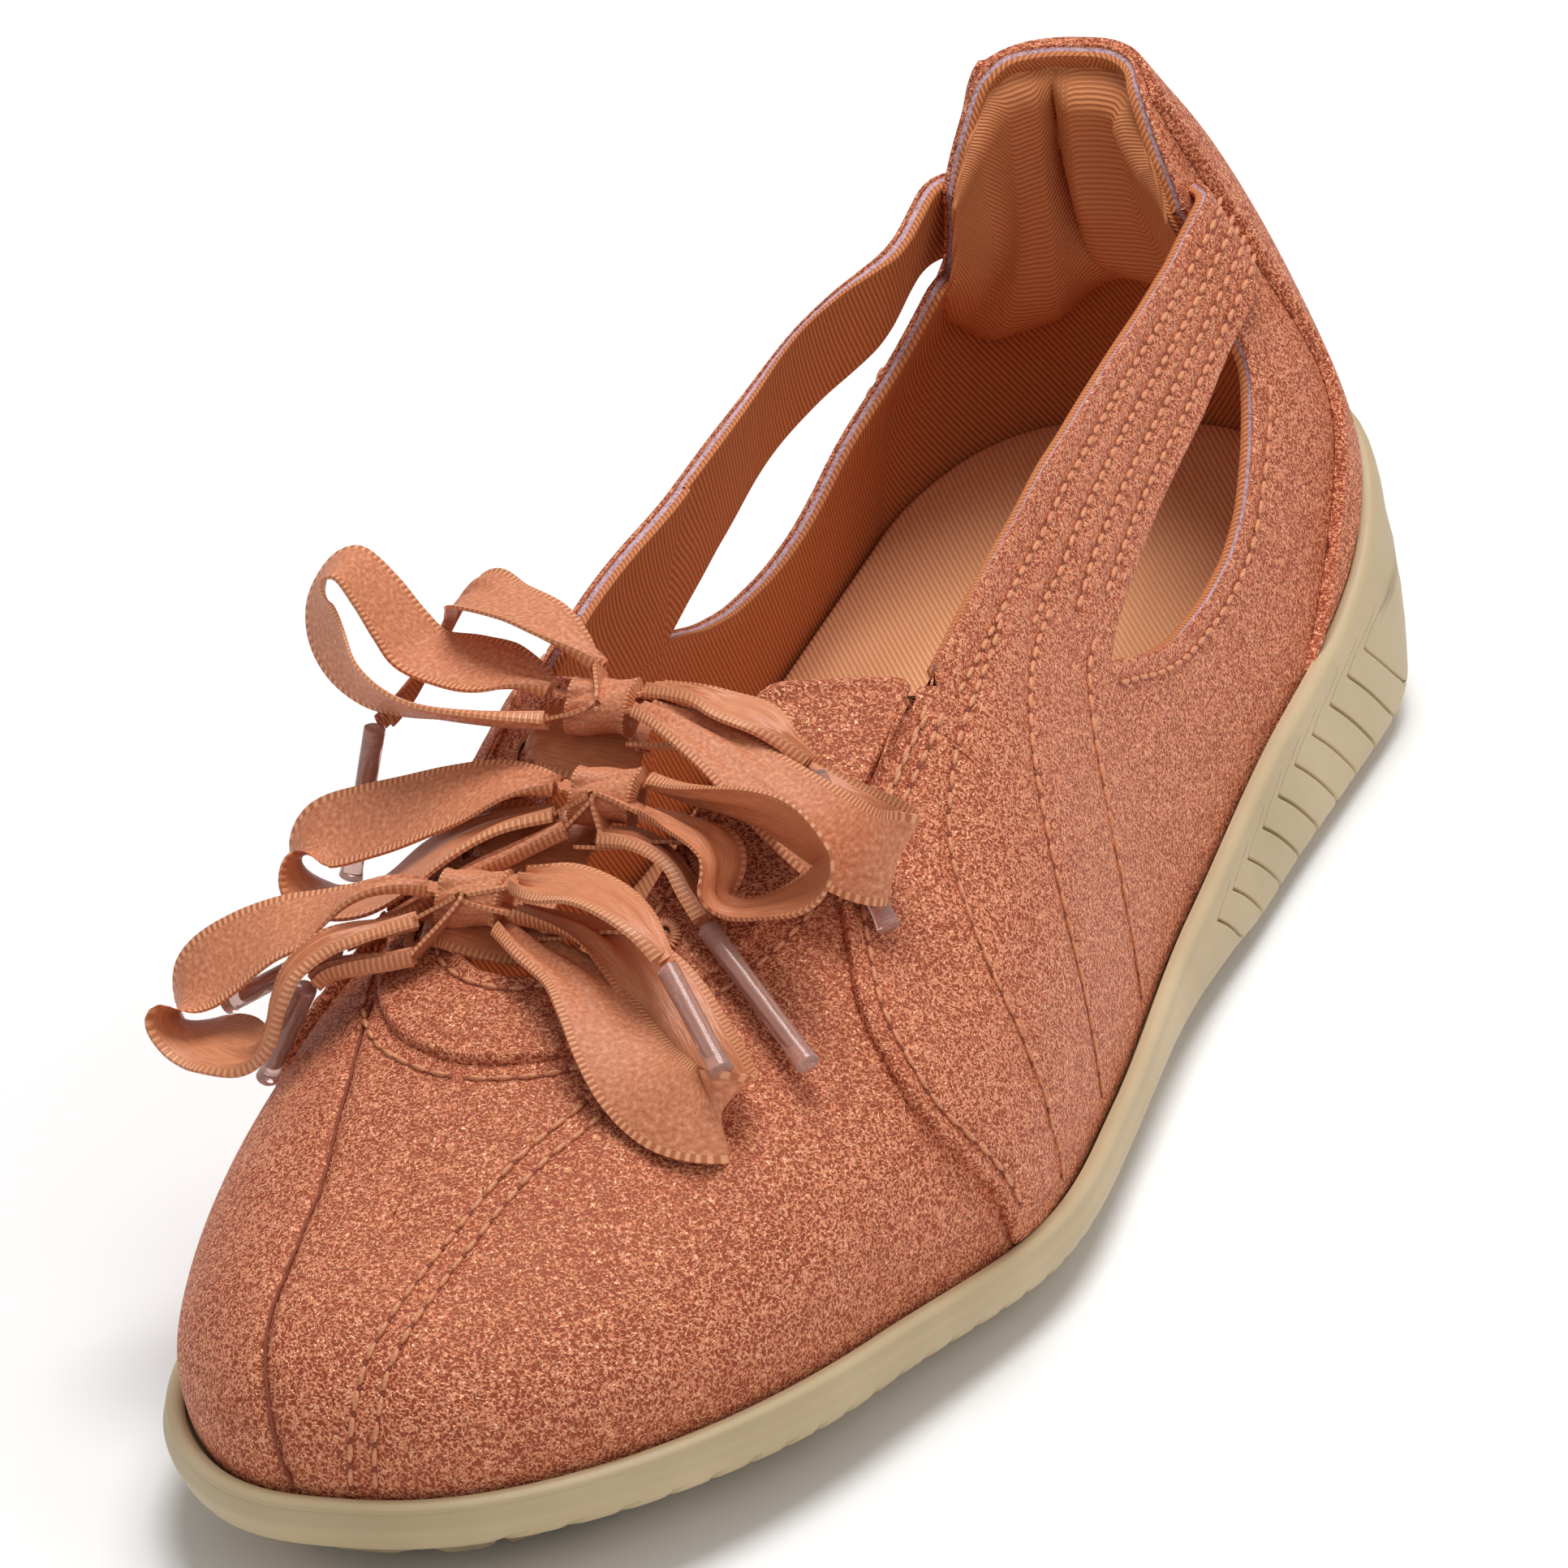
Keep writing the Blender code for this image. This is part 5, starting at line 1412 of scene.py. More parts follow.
def stitch_nodes():
    """Lays one stitch at each point of a mesh, turned to the tangent and the normal kept on it."""
    tree = bpy.data.node_groups.new("stitch_rows", "GeometryNodeTree")
    face = tree.interface
    face.new_socket("Geometry", in_out="INPUT", socket_type="NodeSocketGeometry")
    for name in ("Length", "Width", "Height"):
        face.new_socket(name, in_out="INPUT", socket_type="NodeSocketFloat")
    face.new_socket("Material", in_out="INPUT", socket_type="NodeSocketMaterial")
    face.new_socket("Geometry", in_out="OUTPUT", socket_type="NodeSocketGeometry")
    into, out = tree.nodes.new("NodeGroupInput"), tree.nodes.new("NodeGroupOutput")
    link = tree.links.new
    thread = tree.nodes.new("GeometryNodeMeshUVSphere")
    thread.inputs["Segments"].default_value = 6
    thread.inputs["Rings"].default_value = 6
    thread.inputs["Radius"].default_value = 0.5
    size = tree.nodes.new("ShaderNodeCombineXYZ")
    for socket, name in zip(size.inputs, ("Length", "Width", "Height")):
        link(into.outputs[name], socket)
    shaped = tree.nodes.new("GeometryNodeTransform")
    upright = tree.nodes.new("GeometryNodeTransform")
    upright.inputs["Rotation"].default_value = (0, math.pi / 2, 0)
    link(thread.outputs["Mesh"], upright.inputs["Geometry"])
    link(upright.outputs["Geometry"], shaped.inputs["Geometry"])
    link(size.outputs[0], shaped.inputs["Scale"])

    def kept(name):
        made = tree.nodes.new("GeometryNodeInputNamedAttribute")
        made.data_type = "FLOAT_VECTOR"
        made.inputs["Name"].default_value = name
        return made.outputs["Attribute"]

    along = tree.nodes.new("FunctionNodeAlignRotationToVector")
    along.axis = "X"
    link(kept("tangent"), along.inputs["Vector"])
    up = tree.nodes.new("FunctionNodeAlignRotationToVector")
    up.axis = "Z"
    up.pivot_axis = "X"
    link(along.outputs["Rotation"], up.inputs["Rotation"])
    link(kept("outward"), up.inputs["Vector"])
    laid = tree.nodes.new("GeometryNodeInstanceOnPoints")
    link(into.outputs["Geometry"], laid.inputs["Points"])
    link(shaped.outputs["Geometry"], laid.inputs["Instance"])
    link(up.outputs["Rotation"], laid.inputs["Rotation"])
    real = tree.nodes.new("GeometryNodeRealizeInstances")
    link(laid.outputs["Instances"], real.inputs["Geometry"])
    painted = tree.nodes.new("GeometryNodeSetMaterial")
    link(real.outputs["Geometry"], painted.inputs["Geometry"])
    link(into.outputs["Material"], painted.inputs["Material"])
    link(painted.outputs["Geometry"], out.inputs["Geometry"])
    return tree


def scatter(name, points, tangents, outward, tree, look, sizes):
    """A plain mesh of the stitches that a tree lays on points in metres."""
    mesh = bpy.data.meshes.new(name + "_points")
    mesh.from_pydata(np.asarray(points).tolist(), [], [])
    for label, values in (("tangent", tangents), ("outward", outward)):
        layer = mesh.attributes.new(label, "FLOAT_VECTOR", "POINT")
        layer.data.foreach_set("vector", np.asarray(values, np.float32).reshape(-1))
    seed = bpy.data.objects.new(name + "_points", mesh)
    bpy.context.scene.collection.objects.link(seed)
    maker = seed.modifiers.new("stitches", "NODES")
    maker.node_group = tree
    sockets = {item.name: item.identifier for item in tree.interface.items_tree if item.in_out == "INPUT"}
    for label, value in zip(("Length", "Width", "Height"), sizes):
        maker[sockets[label]] = value * MM
    maker[sockets["Material"]] = look
    graph = bpy.context.evaluated_depsgraph_get()
    made = bpy.data.objects.new(name, bpy.data.meshes.new_from_object(seed.evaluated_get(graph)))
    made.data.shade_smooth()
    bpy.data.objects.remove(seed)
    bpy.context.scene.collection.objects.link(made)
    return made


HOLE_SIZE = (0.75, 0.62, 0.28)         # length, width, height
# painted shade along the toe seam's groove: length, width, height of each dark piece
SEAM_SHADE_SIZE = (4.2, 0.42, 0.5)
RAY_START, RAY_LONG = 5, 8             # a stitch looks for cloth from this far out, over this distance
STITCH_OUT, HOLE_DEEP = 0.2, 0.18
TO_FRAME = np.array([1, -1, 1])        # the frame's second axis runs to the heel


def ray_tree(cloth):
    """A cloth's faces, for rays to hit."""
    shape = bmesh.new()
    shape.from_mesh(cloth.data)
    made = BVHTree.FromBMesh(shape)
    shape.free()
    return made
SEAM_SHADE_SIZE = (4.2, 0.42, 0.5)


def build_stitches(cloths, tree, look, dark):
    """Every row of SEWN: each stitch lies on the outermost cloth, and has a needle's hole at its end, drawn in
    painted shade; a row without thread gets a strip of painted shade along its groove instead.
    """
    trees = [ray_tree(cloth) for cloth in cloths]
    laid, seam_shades = [], []
    for line, normal, stitched in SEWN:
        line = metres(line)
        normal = normal * TO_FRAME
        for k in range(len(line) - 1):
            middle = Vector((line[k] + line[k + 1]) / 2)
            up = Vector(normal[k] + normal[k + 1]).normalized()
            start = middle + up * RAY_START * MM
            best = None
            for cloth_tree in trees:
                hit, _, _, away = cloth_tree.ray_cast(start, -up, RAY_LONG * MM)
                if hit is not None and (best is None or away < best[0]):
                    best = (away, hit)
            if best is not None:
                row = (best[1] + up * STITCH_OUT * MM, Vector(line[k + 1] - line[k]), up)
                (laid if stitched else seam_shades).append(row)
    rows = scatter("stitches", *zip(*laid), tree, look, (STITCH_LONG, STITCH_WIDE, STITCH_HIGH))
    ends = [(point + along / 2 - up * HOLE_DEEP * MM, along, up) for point, along, up in laid]
    holes = scatter("needle_holes", *zip(*ends), tree, dark, HOLE_SIZE)
    return rows, holes, scatter("toe_seam_painted_shade", *zip(*seam_shades), tree, dark, SEAM_SHADE_SIZE)


# ---------------------------------------------------------------- laces: three bows of flat ribbon

RIBBON_WIDE, RIBBON_THICK = 10.5, 0.42
KNOTS = {
    # bow: across, place, height
    "top": (-7.5, 153.0, 61.9),
    "middle": (-3.4, 164.0, 56.6),
    "bottom": (-14.2, 178.5, 50.6),
}
KNOT_SIZE = (5.2, 3.2, 3.0)      # half length across, half depth, half height
BARS = {
    # bow: place, half length, tilt to the instep
    "top": (153.0, 14.5, 28.0),
    "middle": (165.5, 14.5, 24.0),
    "bottom": (178.0, 14.5, 16.0),
}
BAR_LIFT, BAR_SAG, BAR_DIVE = 1.5, 1.6, 2.6      # over the eyestay, past its edge, and into the eyelet
BAR_WIDE, BAR_GATHER = 10.0, 5.0                 # width at the middle, and how much of it the eyelet gathers
BAR_SHARES = (1.02, 0.98, 0.9, 0.8, 0.68, 0.55, 0.4, 0.2, 0.0)
RIBBONS = {
    # bow, then loop or end, then side; columns: across place height turn width
    "bow_top_loop_medial": (
        (-13.4, 153.0, 63.6, 23, 4), (-17.0, 151.8, 64.4, 3, 8), (-21.0, 151.0, 64.8, -6, 10.5),
        (-25.5, 150.0, 65.0, -7, 10.5), (-30.4, 149.0, 65.6, -3, 10.5), (-33.2, 148.0, 67.9, -1, 10.5),
        (-36.1, 147.0, 71.5, 1, 10.5), (-39.2, 146.5, 74.6, 7, 10.5), (-41.9, 147.0, 73.6, -11, 10.5),
        (-42.7, 148.5, 70.2, -46, 10.5), (-41.1, 150.5, 66.8, -62, 10.5), (-38.1, 152.5, 64.2, -62, 10.5),
        (-34.0, 154.5, 62.6, -50, 10), (-28.1, 156.0, 61.6, -36, 9), (-20.3, 156.2, 61.2, -35, 7),
        (-13.4, 155.4, 61.0, -35, 4),
    ),
    "bow_top_loop_lateral": (
        (-1.6, 155.8, 63.4, -23, 4), (3.7, 157.8, 62.8, -6, 7), (9.4, 160.2, 61.2, 6, 8.6),
        (14.4, 162.6, 59.0, 18, 9.2),
        (19.6, 165.0, 56.6, 32, 10), (24.4, 166.8, 54.4, 46, 10.5), (28.2, 167.0, 52.8, 56, 10.5),
        (30.0, 164.2, 51.4, 0, 10.5), (27.6, 161.4, 51.4, -58, 10.5), (23.0, 159.4, 53.0, -54, 9),
        (18.4, 157.4, 55.2, -44, 7), (13.0, 155.8, 57.6, -34, 6), (6.4, 154.4, 60.2, -24, 5),
        (-1.6, 152.8, 61.8, -10, 4),
    ),
    "bow_top_end_medial": (
        (-8.5, 150.2, 65.6, 30, 4), (-12.9, 148.4, 68.0, 8, 8), (-17.6, 146.4, 69.8, 9, 10),
        (-23.5, 144.0, 70.2, 7, 9.5), (-27.6, 140.6, 69.0, -2, 8), (-30.6, 139.2, 65.6, -6, 6.5),
        (-32.6, 142.2, 61.8, -10, 6.5), (-34.2, 146.6, 59.0, -14, 5), (-35.2, 149.8, 57.8, -16, 3.4),
        (-35.6, 151.2, 57.5, -18, 3),
    ),
    "bow_top_end_lateral": (
        (-2.0, 151.0, 63.4, -22, 4), (3.6, 152.6, 63.9, -19, 5), (7.5, 153.4, 63.2, -10, 8),
        (11.6, 154.4, 62.3, -7, 8), (15.2, 156.0, 60.6, -14, 4.4), (18.2, 157.2, 58.7, -27, 2.6),
    ),
    "bow_middle_loop_medial": (
        (-9.2, 164.0, 57.6, 13, 4), (-13.0, 163.5, 57.4, 3, 8), (-18.4, 163.0, 56.0, -10, 10.5),
        (-24.0, 163.0, 54.2, -21, 10.5), (-29.6, 163.0, 52.2, -27, 10.5), (-34.9, 163.5, 50.7, -30, 10.5),
        (-39.0, 164.5, 49.6, -32, 10.5), (-41.0, 166.4, 47.6, -24, 10.5), (-38.9, 168.4, 44.8, -9, 10.5),
        (-34.4, 169.5, 44.3, -7, 10.5), (-29.5, 170.0, 46.1, 5, 10.5), (-24.8, 169.5, 49.3, 10, 10.5),
        (-20.4, 168.5, 52.2, 6, 9), (-15.4, 167.0, 54.0, -7, 7), (-9.2, 165.5, 54.9, -17, 4),
    ),
    "bow_middle_loop_lateral": (
        (2.4, 163.4, 58.2, -40, 4), (7.2, 165.4, 58.0, -50, 6), (13.6, 168.8, 58.8, -60, 8),
        (19.2, 171.9, 59.3, -66, 9.5), (23.8, 174.2, 58.8, -64, 10.5), (26.6, 175.4, 56.8, -46, 10.5),
        (24.9, 176.0, 53.8, -14, 10.5), (20.8, 176.2, 51.6, 0, 9), (16.3, 176.2, 50.4, 8, 8),
        (13.6, 175.8, 51.5, 4, 8), (13.2, 173.2, 54.2, -6, 8), (11.2, 170.8, 55.8, 4, 8),
        (7.6, 168.8, 56.2, 14, 7), (2.6, 166.8, 56.2, 24, 4),
    ),
    "bow_middle_end_medial": (
        (-7.1, 168.0, 54.4, 9, 4), (-12.0, 170.4, 52.6, 4, 5), (-17.4, 173.2, 50.6, 0, 4.5),
        (-22.0, 176.6, 48.4, 0, 4.5), (-26.5, 180.0, 46.6, 9, 4), (-29.2, 181.3, 45.7, 15, 3),
    ),
    "bow_middle_end_lateral": (
        (-2.4, 168.2, 53.8, -13, 4), (1.2, 168.8, 54.0, -12, 5), (4.4, 170.2, 53.4, -26, 5),
        (7.6, 172.4, 52.2, -33, 5), (9.8, 175.0, 50.6, -30, 4), (12.2, 177.4, 49.0, -34, 3),
    ),
    "bow_bottom_loop_medial": (
        (-20.0, 178.0, 51.4, 16, 4), (-23.0, 179.0, 52.2, 16, 6), (-26.9, 180.0, 51.6, 7, 8),
        (-32.6, 181.0, 48.4, -10, 10.5), (-37.3, 182.0, 46.9, -21, 10.5), (-42.3, 183.0, 44.2, -36, 10.5),
        (-46.7, 184.5, 41.1, -40, 10.5), (-48.6, 186.6, 37.8, -22, 10.5), (-45.4, 188.4, 36.6, 6, 10.5),
        (-41.8, 189.6, 36.4, 10, 10.5), (-37.4, 191.6, 36.8, 14, 7), (-34.3, 192.6, 39.6, 21, 5),
        (-32.9, 192.2, 43.4, 22, 5), (-31.4, 190.6, 46.7, 19, 5), (-28.6, 188.0, 48.8, 9, 5),
        (-25.6, 185.6, 49.2, -9, 5), (-23.2, 183.6, 49.0, -24, 4), (-20.2, 181.4, 49.0, -29, 3),
    ),
    "bow_bottom_loop_lateral": (
        (-9.4, 181.6, 48.8, -24, 4), (-4.0, 185.4, 48.4, -12, 7), (1.8, 189.0, 47.4, -2, 8.6),
        (5.8, 193.2, 45.8, 8, 9.6),
        (9.4, 197.2, 43.8, 20, 10.2), (13.4, 200.8, 41.8, 34, 10.5), (17.8, 203.2, 40.2, 50, 10.5),
        (21.4, 201.6, 38.6, 0, 10.5), (20.4, 198.0, 39.0, -58, 10.5), (16.4, 193.2, 41.8, -48, 9.6),
        (11.6, 188.4, 45.2, -36, 9), (6.8, 184.8, 47.6, -20, 8), (0.9, 182.2, 49.6, 0, 6),
        (-8.2, 180.4, 50.2, 20, 3),
    ),
    "bow_bottom_end_medial": (
        (-19.4, 184.8, 46.4, 20, 3), (-22.8, 185.8, 46.0, 18, 3), (-26.1, 186.6, 45.8, 14, 3),
        (-28.9, 187.4, 45.4, -12, 3), (-30.4, 188.2, 44.4, -27, 3),
    ),
    "bow_bottom_end_lateral": (
        (-8.6, 178.4, 53.2, 0, 4), (-4.0, 180.0, 54.0, 2, 8), (1.9, 182.4, 54.4, -12, 9),
        (6.5, 185.2, 53.8, -15, 8), (10.4, 188.4, 52.4, -22, 6), (12.9, 190.6, 51.0, -35, 3),
    ),
}
AGLET_RADIUS = 1.25
CORE_STATIONS = 14       # rings of the gathered ribbon seen inside a tip
AGLETS = {
    # two ends of each stiff tip
    "aglet_top_medial": ((-35.8, 152.9, 57.5), (-40.7, 154.5, 39.3)),
    "aglet_top_lateral": ((19.0, 157.8, 57.6), (29.6, 167.4, 44.4)),
    "aglet_middle_medial": ((-30.1, 181.9, 45.3), (-44.7, 181.2, 36.9)),
    "aglet_middle_lateral": ((12.8, 177.9, 48.5), (28.0, 190.0, 39.4)),
    "aglet_bottom_medial": ((-31.2, 188.4, 43.5), (-39.0, 185.6, 30.4)),
    "aglet_bottom_lateral": ((13.6, 191.2, 50.5), (22.6, 200.6, 43.8)),
}
BOWS = ("top", "middle", "bottom")
RIBBON_STEPS = 9
TURN_EASE = 3.0              # length of ribbon over which a twist evens out
KNOT_PASS = (2.2, 1.6)       # how far the ribbon's two passes through a knot lie from its middle
RIBBON_ACROSS = 15
KNOT_ROUNDS, KNOT_ROWS = 56, 25
KNOT_SQUEEZE = 0.82
KNOT_WIDE = 3.0              # the ribbon's width inside a knot
PLEATS, PLEAT_HIGH = 2.5, 1.5            # waves across a gathered ribbon
CUP_WAVE, RIPPLE_WAVE, RIPPLE_HIGH = 17.0, 2.3, 0.08
SATIN, CREPE = 0, 1


def height_over(across, place):
    """Height of the upper's surface over a point seen from above."""
    side = 1.0 if across > float(middle_at(place)) else -1.0
    u, rise = locate(side, np.array([place]), np.array([across]), 0)
    return float(surface(u, rise, np.array([side]))[0, 2])


def bar_rows(bow, side):
    """The lace from its eyelet to the throat's middle, lying on the eyestay and sagging past its edge."""
    place, half, tilt = BARS[bow]
    middle = float(middle_at(place))
    edge = float(smooth(THROAT, 1, place)) + 1
    rows = []
    for share in BAR_SHARES:
        out = max(share * half, edge)
        sag = BAR_SAG * max(0, 1 - (share * half / edge) ** 2)
        dive = BAR_DIVE * ease(share, 0.9, 1.02)
        height = height_over(middle + side * out, place) + BAR_LIFT + 0.6 - sag - dive
        width = BAR_WIDE - BAR_GATHER * ease(share, 0.72, 0.98)
        rows.append((middle + side * share * half, place, height, tilt, width))
    return rows


def ribbon_strip(shell, rows, back_slot=CREPE, front_slot=SATIN, gather=0.8, cup=0.3):
    """A flat ribbon swept along its rows: gathered where it is narrow, gently cupped where it is wide."""
    rows = catmull(rows, RIBBON_STEPS)
    path = rows[:, :3] * TO_FRAME
    along = unit(np.gradient(path, axis=0))
    heelward = np.array([0.0, 1.0, 0.0])
    flat = heelward - along * (along @ heelward)[:, None]
    sure = np.linalg.norm(flat, axis=-1) ** 3
    flat = unit(flat)
    turn = np.radians(rows[:, 3])[:, None]
    wide = flat * np.cos(turn) + np.cross(along, flat) * np.sin(turn)
    run = np.concatenate(([0], np.cumsum(np.linalg.norm(np.diff(path, axis=0), axis=-1))))
    wide = (bell(run[:, None], run[None], TURN_EASE) * sure[None]) @ wide
    wide = unit(wide - along * (wide * along).sum(-1)[:, None])
    face = np.cross(along, wide)
    v = np.linspace(-1, 1, RIBBON_ACROSS)
    width = rows[:, 4]
    shrink = np.clip(1 - width / RIBBON_WIDE, 0, 1)
    pleats = np.sin(v[None] * PLEATS * np.pi + 0.9) * shrink[:, None] * PLEAT_HIGH * gather
    cupped = cup * (1 - v[None] ** 2) * (1 - shrink[:, None]) * np.sin(run / CUP_WAVE)[:, None]
    ripple = RIPPLE_HIGH * np.sin(run[:, None] / RIPPLE_WAVE + v[None] * 3)
    ripple = ripple * (1 - np.abs(v[None])) * (0.3 + shrink[:, None])
    lift = pleats + cupped + ripple
    middle = path[:, None] + wide[:, None] * (v[None] * width[:, None] / 2)[..., None]
    chart = np.stack(np.broadcast_arrays(run[:, None], v[None] * RIBBON_WIDE / 2), -1)
    half = RIBBON_THICK / 2
    front = (middle + face[:, None] * (lift + half)[..., None]) * TO_FRAME
    back = (middle + face[:, None] * (lift - half)[..., None]) * TO_FRAME
    shell.grid(front, front_slot, chart, flip=False)
    shell.grid(back, back_slot, chart, flip=True)
    for pick, turned in GRID_EDGES[2:] + GRID_EDGES[:2]:
        shell.grid(np.stack((front[pick], back[pick])), front_slot,
                   np.stack((chart[pick], chart[pick])), flip=not turned)
    return path * TO_FRAME


def build_lace_half(bow, side_name, looks):
    """Half of one bow's ribbon, with the line it follows: eyelet, bar, knot, loop, knot, free end."""
    side = 1 if side_name == "lateral" else -1
    shell = Shell()
    bar = bar_rows(bow, side)
    loop = RIBBONS[f"bow_{bow}_loop_{side_name}"]
    end = RIBBONS[f"bow_{bow}_end_{side_name}"]
    across, place, height = KNOTS[bow]
    path = [ribbon_strip(shell, bar, gather=0.6)]
    for before, strip, shift in ((bar, loop, -1), (loop, end, 1)):
        inside = (across, place + KNOT_PASS[0] * shift, height + KNOT_PASS[1] * shift, 0, KNOT_WIDE)
        tuck = [(*before[-1][:4], KNOT_WIDE), inside, (*strip[0][:4], KNOT_WIDE)]
        turned = (SATIN, CREPE) if strip is loop and side > 0 else (CREPE, SATIN)
        path += [ribbon_strip(shell, tuck, gather=0), ribbon_strip(shell, strip, *turned)]
    path = np.concatenate(path)
    made = shell.make(f"lace_{bow}_{side_name}", looks, join=0.002)
    return made, metres(resample(path, 1.0))


def build_knot(bow, looks):
    """The knot's wrap: ribbon drawn tight round the bow's waist, rolled at both edges, with a crease."""
    across, place, height = KNOTS[bow]
    long, deep, tall = KNOT_SIZE
    a = np.linspace(0, 2 * np.pi, KNOT_ROUNDS, endpoint=False)
    t = np.linspace(-1, 1, KNOT_ROWS)
    barrel = 1.0 + 0.10 * np.cos(np.pi * t / 2) + 0.12 * bell(np.abs(t), 0.9, 0.09)
    end = np.sqrt(np.clip(1 - np.clip((np.abs(t) - 0.9) / 0.1, 0, 1) ** 2, 0, 1)) * 0.35 + 0.65
    radius = (barrel * end)[:, None] + 0.05 * np.sin(3 * a + 2.5 * t[:, None])
    radius = radius + 0.06 * np.cos(2 * a[None] - 4 * t[:, None])
    crease = 0.16 * bell(a[None] - 1.2, 0.5 * t[:, None], 0.16)
    radius = radius * (1 - crease)
    points = np.stack(np.broadcast_arrays(
        across + t[:, None] * long * KNOT_SQUEEZE * 0.92 + 0.5 * np.sin(a)[None],
        place + radius * deep * np.cos(a)[None] * 0.95,
        height + radius * tall * np.sin(a)[None] * 0.95), -1)
    around = a[None] * deep * 1.3 * np.ones((KNOT_ROWS, 1))
    chart = np.stack(np.broadcast_arrays(around, t[:, None] * RIBBON_WIDE / 2), -1)
    shell = Shell()
    shell.grid(points, CREPE, chart, flip=True, round_columns=True)
    for k, turned in ((0, False), (-1, True)):
        centre = np.broadcast_to(points[k].mean(0), points[k].shape)
        rings = np.stack([points[k] + (centre - points[k]) * s for s in (0, 0.35, 0.7, 1.0)])
        rings[1:, :, 0] += (0.5 if k == 0 else -0.5)
        shell.grid(rings, SATIN, np.zeros(rings.shape[:2] + (2,)), flip=not turned, round_columns=True)
    return shell.make(f"knot_{bow}", looks, join=0.01)


def build_aglet(name, ends, looks):
    """A clear tip crimped over the ribbon's gathered end, slightly flared where it was cut."""
    start, end = np.array(ends, float)
    along = unit(end - start)
    first = unit(np.cross(along, np.array([0.2, 0.1, 1.0])))
    second = np.cross(along, first)
    length = float(np.linalg.norm(end - start))
    a = np.linspace(0, 2 * np.pi, 20, endpoint=False)
    shell = Shell()

    def tube(stations, slot):
        rings = []
        for far, radius, squash in stations:
            spokes = np.cos(a)[:, None] * first + squash * np.sin(a)[:, None] * second
            rings.append(start + along * far + radius * spokes)
        shell.grid(np.stack(rings), slot, flip=True, round_columns=True)

    r = AGLET_RADIUS
    tube(((0.0, 0.05, 1), (-0.1, r * 0.75, 1), (0.1, r * 0.98, 1), (0.5, r, 1),
          (length * 0.5, r * 0.97, 0.96), (length - 1.2, r * 1.0, 0.94), (length - 0.4, r * 1.1, 0.92),
          (length, r * 1.16, 0.9), (length + 0.1, r * 1.05, 0.9), (length, 0.05, 1)), 0)
    core = [(0.3, 0.05, 1)]
    last = CORE_STATIONS - 1
    for k in range(CORE_STATIONS):
        far = 0.4 + (length * 0.86 - 0.4) * k / last
        radius = r * (0.78 - 0.18 * (k / last) + 0.06 * math.sin(k * 2.3))
        core.append((far, radius, 0.7 + 0.12 * math.sin(k * 1.7)))
    core.append((length * 0.87, 0.05, 1))
    tube(core, 1)
    return shell.make(name, looks, join=0.002)


# ---------------------------------------------------------------- eyelets and label

EYELETS = ((153.0, 13.9), (165.5, 14.2), (178.0, 14.0))     # place, half width from the middle line
EYELET_LONG, EYELET_WIDE = 2.9, 1.9
EYELET_THREADS = 30
EYELET_ROW = 0.82        # share of the eyelet's radius at which its threads lie
EYELET_DARK = ((0.0, -0.2), (0.35, -0.1), (0.62, 0.12))      # rings of the hole: share of the radius, lift
THREAD_SIZE = (1.5, 0.42, 0.5)
THREAD_OUT = 0.25
EYELET_RAY = (6, 9)      # how far out the ray that finds the cloth starts, and how long it is
DARK_POINTS = 24


def build_eyelets(cloth, tree, look, dark):
    """Buttonhole stitches round each worked hole of the eyestay, and the dark hole itself."""
    surface_tree = ray_tree(cloth)
    points, tangents, outward = [], [], []
    shell = Shell()
    for place, half in EYELETS:
        for side in (1, -1):
            across = float(middle_at(place)) + side * half
            u, rise = locate(side, np.array([place]), np.array([across]), 0)
            sides = sided(u, side)
            centre = Vector(metres(surface(u, rise, sides))[0])
            up = Vector((normals(u, rise, sides)[0] * TO_FRAME).tolist())
            start, reach = EYELET_RAY
            centre = surface_tree.ray_cast(centre + up * start * MM, -up, reach * MM)[0] or centre
            long = Vector((0, 1, 0))
            long = (long - up * long.dot(up)).normalized()
            wide = long.cross(up)

            def ray(turn):
                return long * math.cos(turn) * EYELET_LONG + wide * math.sin(turn) * EYELET_WIDE

            for k in range(EYELET_THREADS):
                spoke = ray(2 * math.pi * k / EYELET_THREADS)
                points.append(centre + spoke * MM * EYELET_ROW + up * THREAD_OUT * MM)
                tangents.append(spoke)
                outward.append(up)
            turns = np.linspace(0, 2 * np.pi, DARK_POINTS, False)
            ring = np.array([[list(centre + ray(t) * MM * reach + up * lift * MM) for t in turns]
                             for reach, lift in EYELET_DARK]) / MM * TO_FRAME
            shell.grid(ring + (CENTRE_ACROSS, CENTRE_PLACE, 0), 0, round_columns=True)
    threads = scatter("eyelet_stitches", points, tangents, outward, tree, look, THREAD_SIZE)
    holes = shell.make("eyelet_holes", [dark], join=0.001)
    return threads, holes


LABEL_PLACE, LABEL_HALF, LABEL_LONG = 171.0, 9.0, 20.0
LABEL_HIGH, LABEL_THICK = 38.6, 0.35


def build_label(look):
    """A blank white woven label sewn to the lining under the throat's front."""
    t, w = np.linspace(0, 1, 16), np.linspace(-1, 1, 16)
    place = LABEL_PLACE + LABEL_LONG * t[:, None] + 0 * w
    across = middle_at(place) + LABEL_HALF * w[None] - 1.5
    height = LABEL_HIGH - 0.14 * (place - LABEL_PLACE) - 2.2 * w[None] ** 2 - 5.0 * (1 - t[:, None]) ** 2
    top = np.stack((across, place, height), -1)
    under = top - np.array([0, 0, LABEL_THICK])
    chart = np.stack((across, place), -1)
    shell = Shell()
    shell.grid(top, 0, chart, flip=False)
    shell.grid(under, 0, chart, flip=True)
    for pick, turned in GRID_EDGES:
        shell.grid(np.stack((top[pick], under[pick])), 0, flip=turned)
    return shell.make("blank_label", [look], join=0.002)


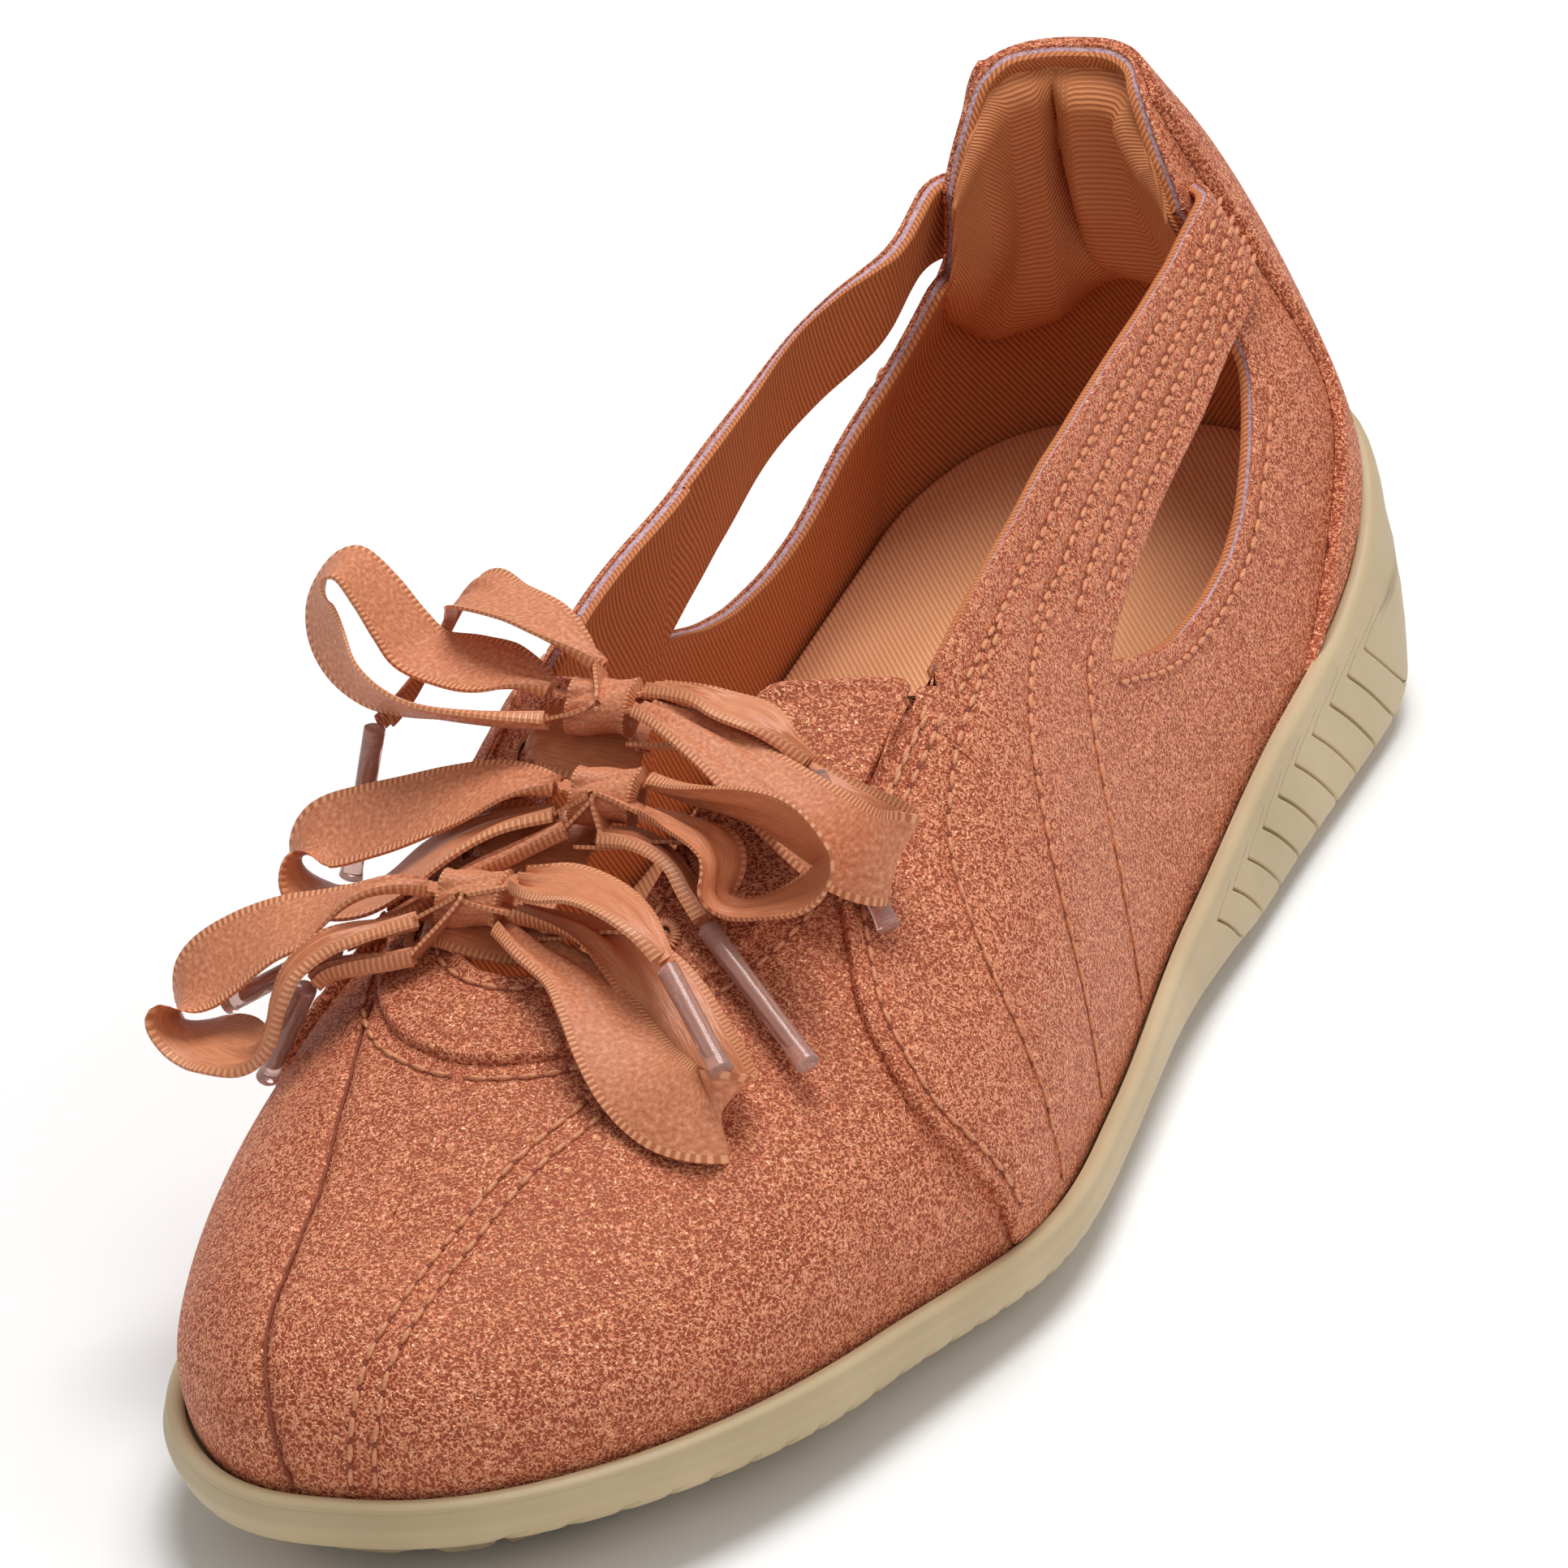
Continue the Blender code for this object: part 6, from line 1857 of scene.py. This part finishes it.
def main():
    set_camera()
    set_studio()
    textile = textile_look(grain_group())
    lining = twill_look("twill_lining", (0.64, 0.225, 0.085), (0.40, 0.115, 0.035))
    foam = foam_look()
    rubber = rubber_look()
    sock = twill_look("sock_lining", (0.92, 0.46, 0.24), (0.78, 0.33, 0.15))
    thread = thread_look()
    lay_rows()
    pieces = [
        (build_upper([textile, foam, lining]), "upper", "metallic_textile"),
        (build_outsole(rubber), "outsole", "rubber"),
        (build_insole(sock), "insole", "sock_lining"),
        (build_counter([textile, foam, lining]), "heel_counter", "metallic_textile"),
    ]
    overlays = [build_saddle([textile]), build_eyestay([textile])]
    cloths = [pieces[0][0], pieces[3][0], *overlays]
    stitches_tree = stitch_nodes()
    hole = new_look("needle_hole_shadow", (0.26, 0.06, 0.03), 0.9)[0]
    for piece in (*overlays, *build_stitches(cloths, stitches_tree, thread, hole)):
        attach(piece, "root")
    for piece, stands_for, slot in pieces:
        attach(piece, "root")
        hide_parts(stands_for)
    satin = ribbon_look("ribbon_satin_side", (0.66, 0.245, 0.115), (0.58, 0.20, 0.088), (0.73, 0.295, 0.145),
                        0.38, (500, 3000, 1))
    crepe = ribbon_look("ribbon_crepe_side", (0.64, 0.235, 0.115), (0.50, 0.15, 0.062), (0.80, 0.35, 0.19),
                        0.55, (1900, 1500, 1))
    plastic = clear_look()
    eyelet_hole = new_look("eyelet_shadow", (0.05, 0.02, 0.015), 0.9)[0]
    eyelets = build_eyelets(overlays[1], stitches_tree, thread, eyelet_hole)
    label = build_label(label_look())
    for piece in (*eyelets, label):
        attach(piece, "root")
    for bow in BOWS:
        knot = build_knot(bow, [satin, crepe])
        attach(knot, "root")
        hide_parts(f"bow_{bow}_knot", f"lace_bar_{bow}")
        for side in ("lateral", "medial"):
            tip = build_aglet(f"lace_tip_{bow}_{side}", AGLETS[f"aglet_{bow}_{side}"], [plastic, crepe])
            lace, path = build_lace_half(bow, side, [satin, crepe])
            for piece, slot in ((tip, "aglet_plastic"), (lace, "satin_ribbon")):
                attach(piece, "root")
            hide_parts(f"aglet_{bow}_{side}")
            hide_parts(f"bow_{bow}_loop_{side}", f"bow_{bow}_end_{side}")
    pad = build_pad(twill_look("twill_padding", (0.68, 0.25, 0.10), (0.55, 0.18, 0.065), 0.00068, 82.0))
    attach(pad, "root")
    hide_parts("heel_pad")


main()
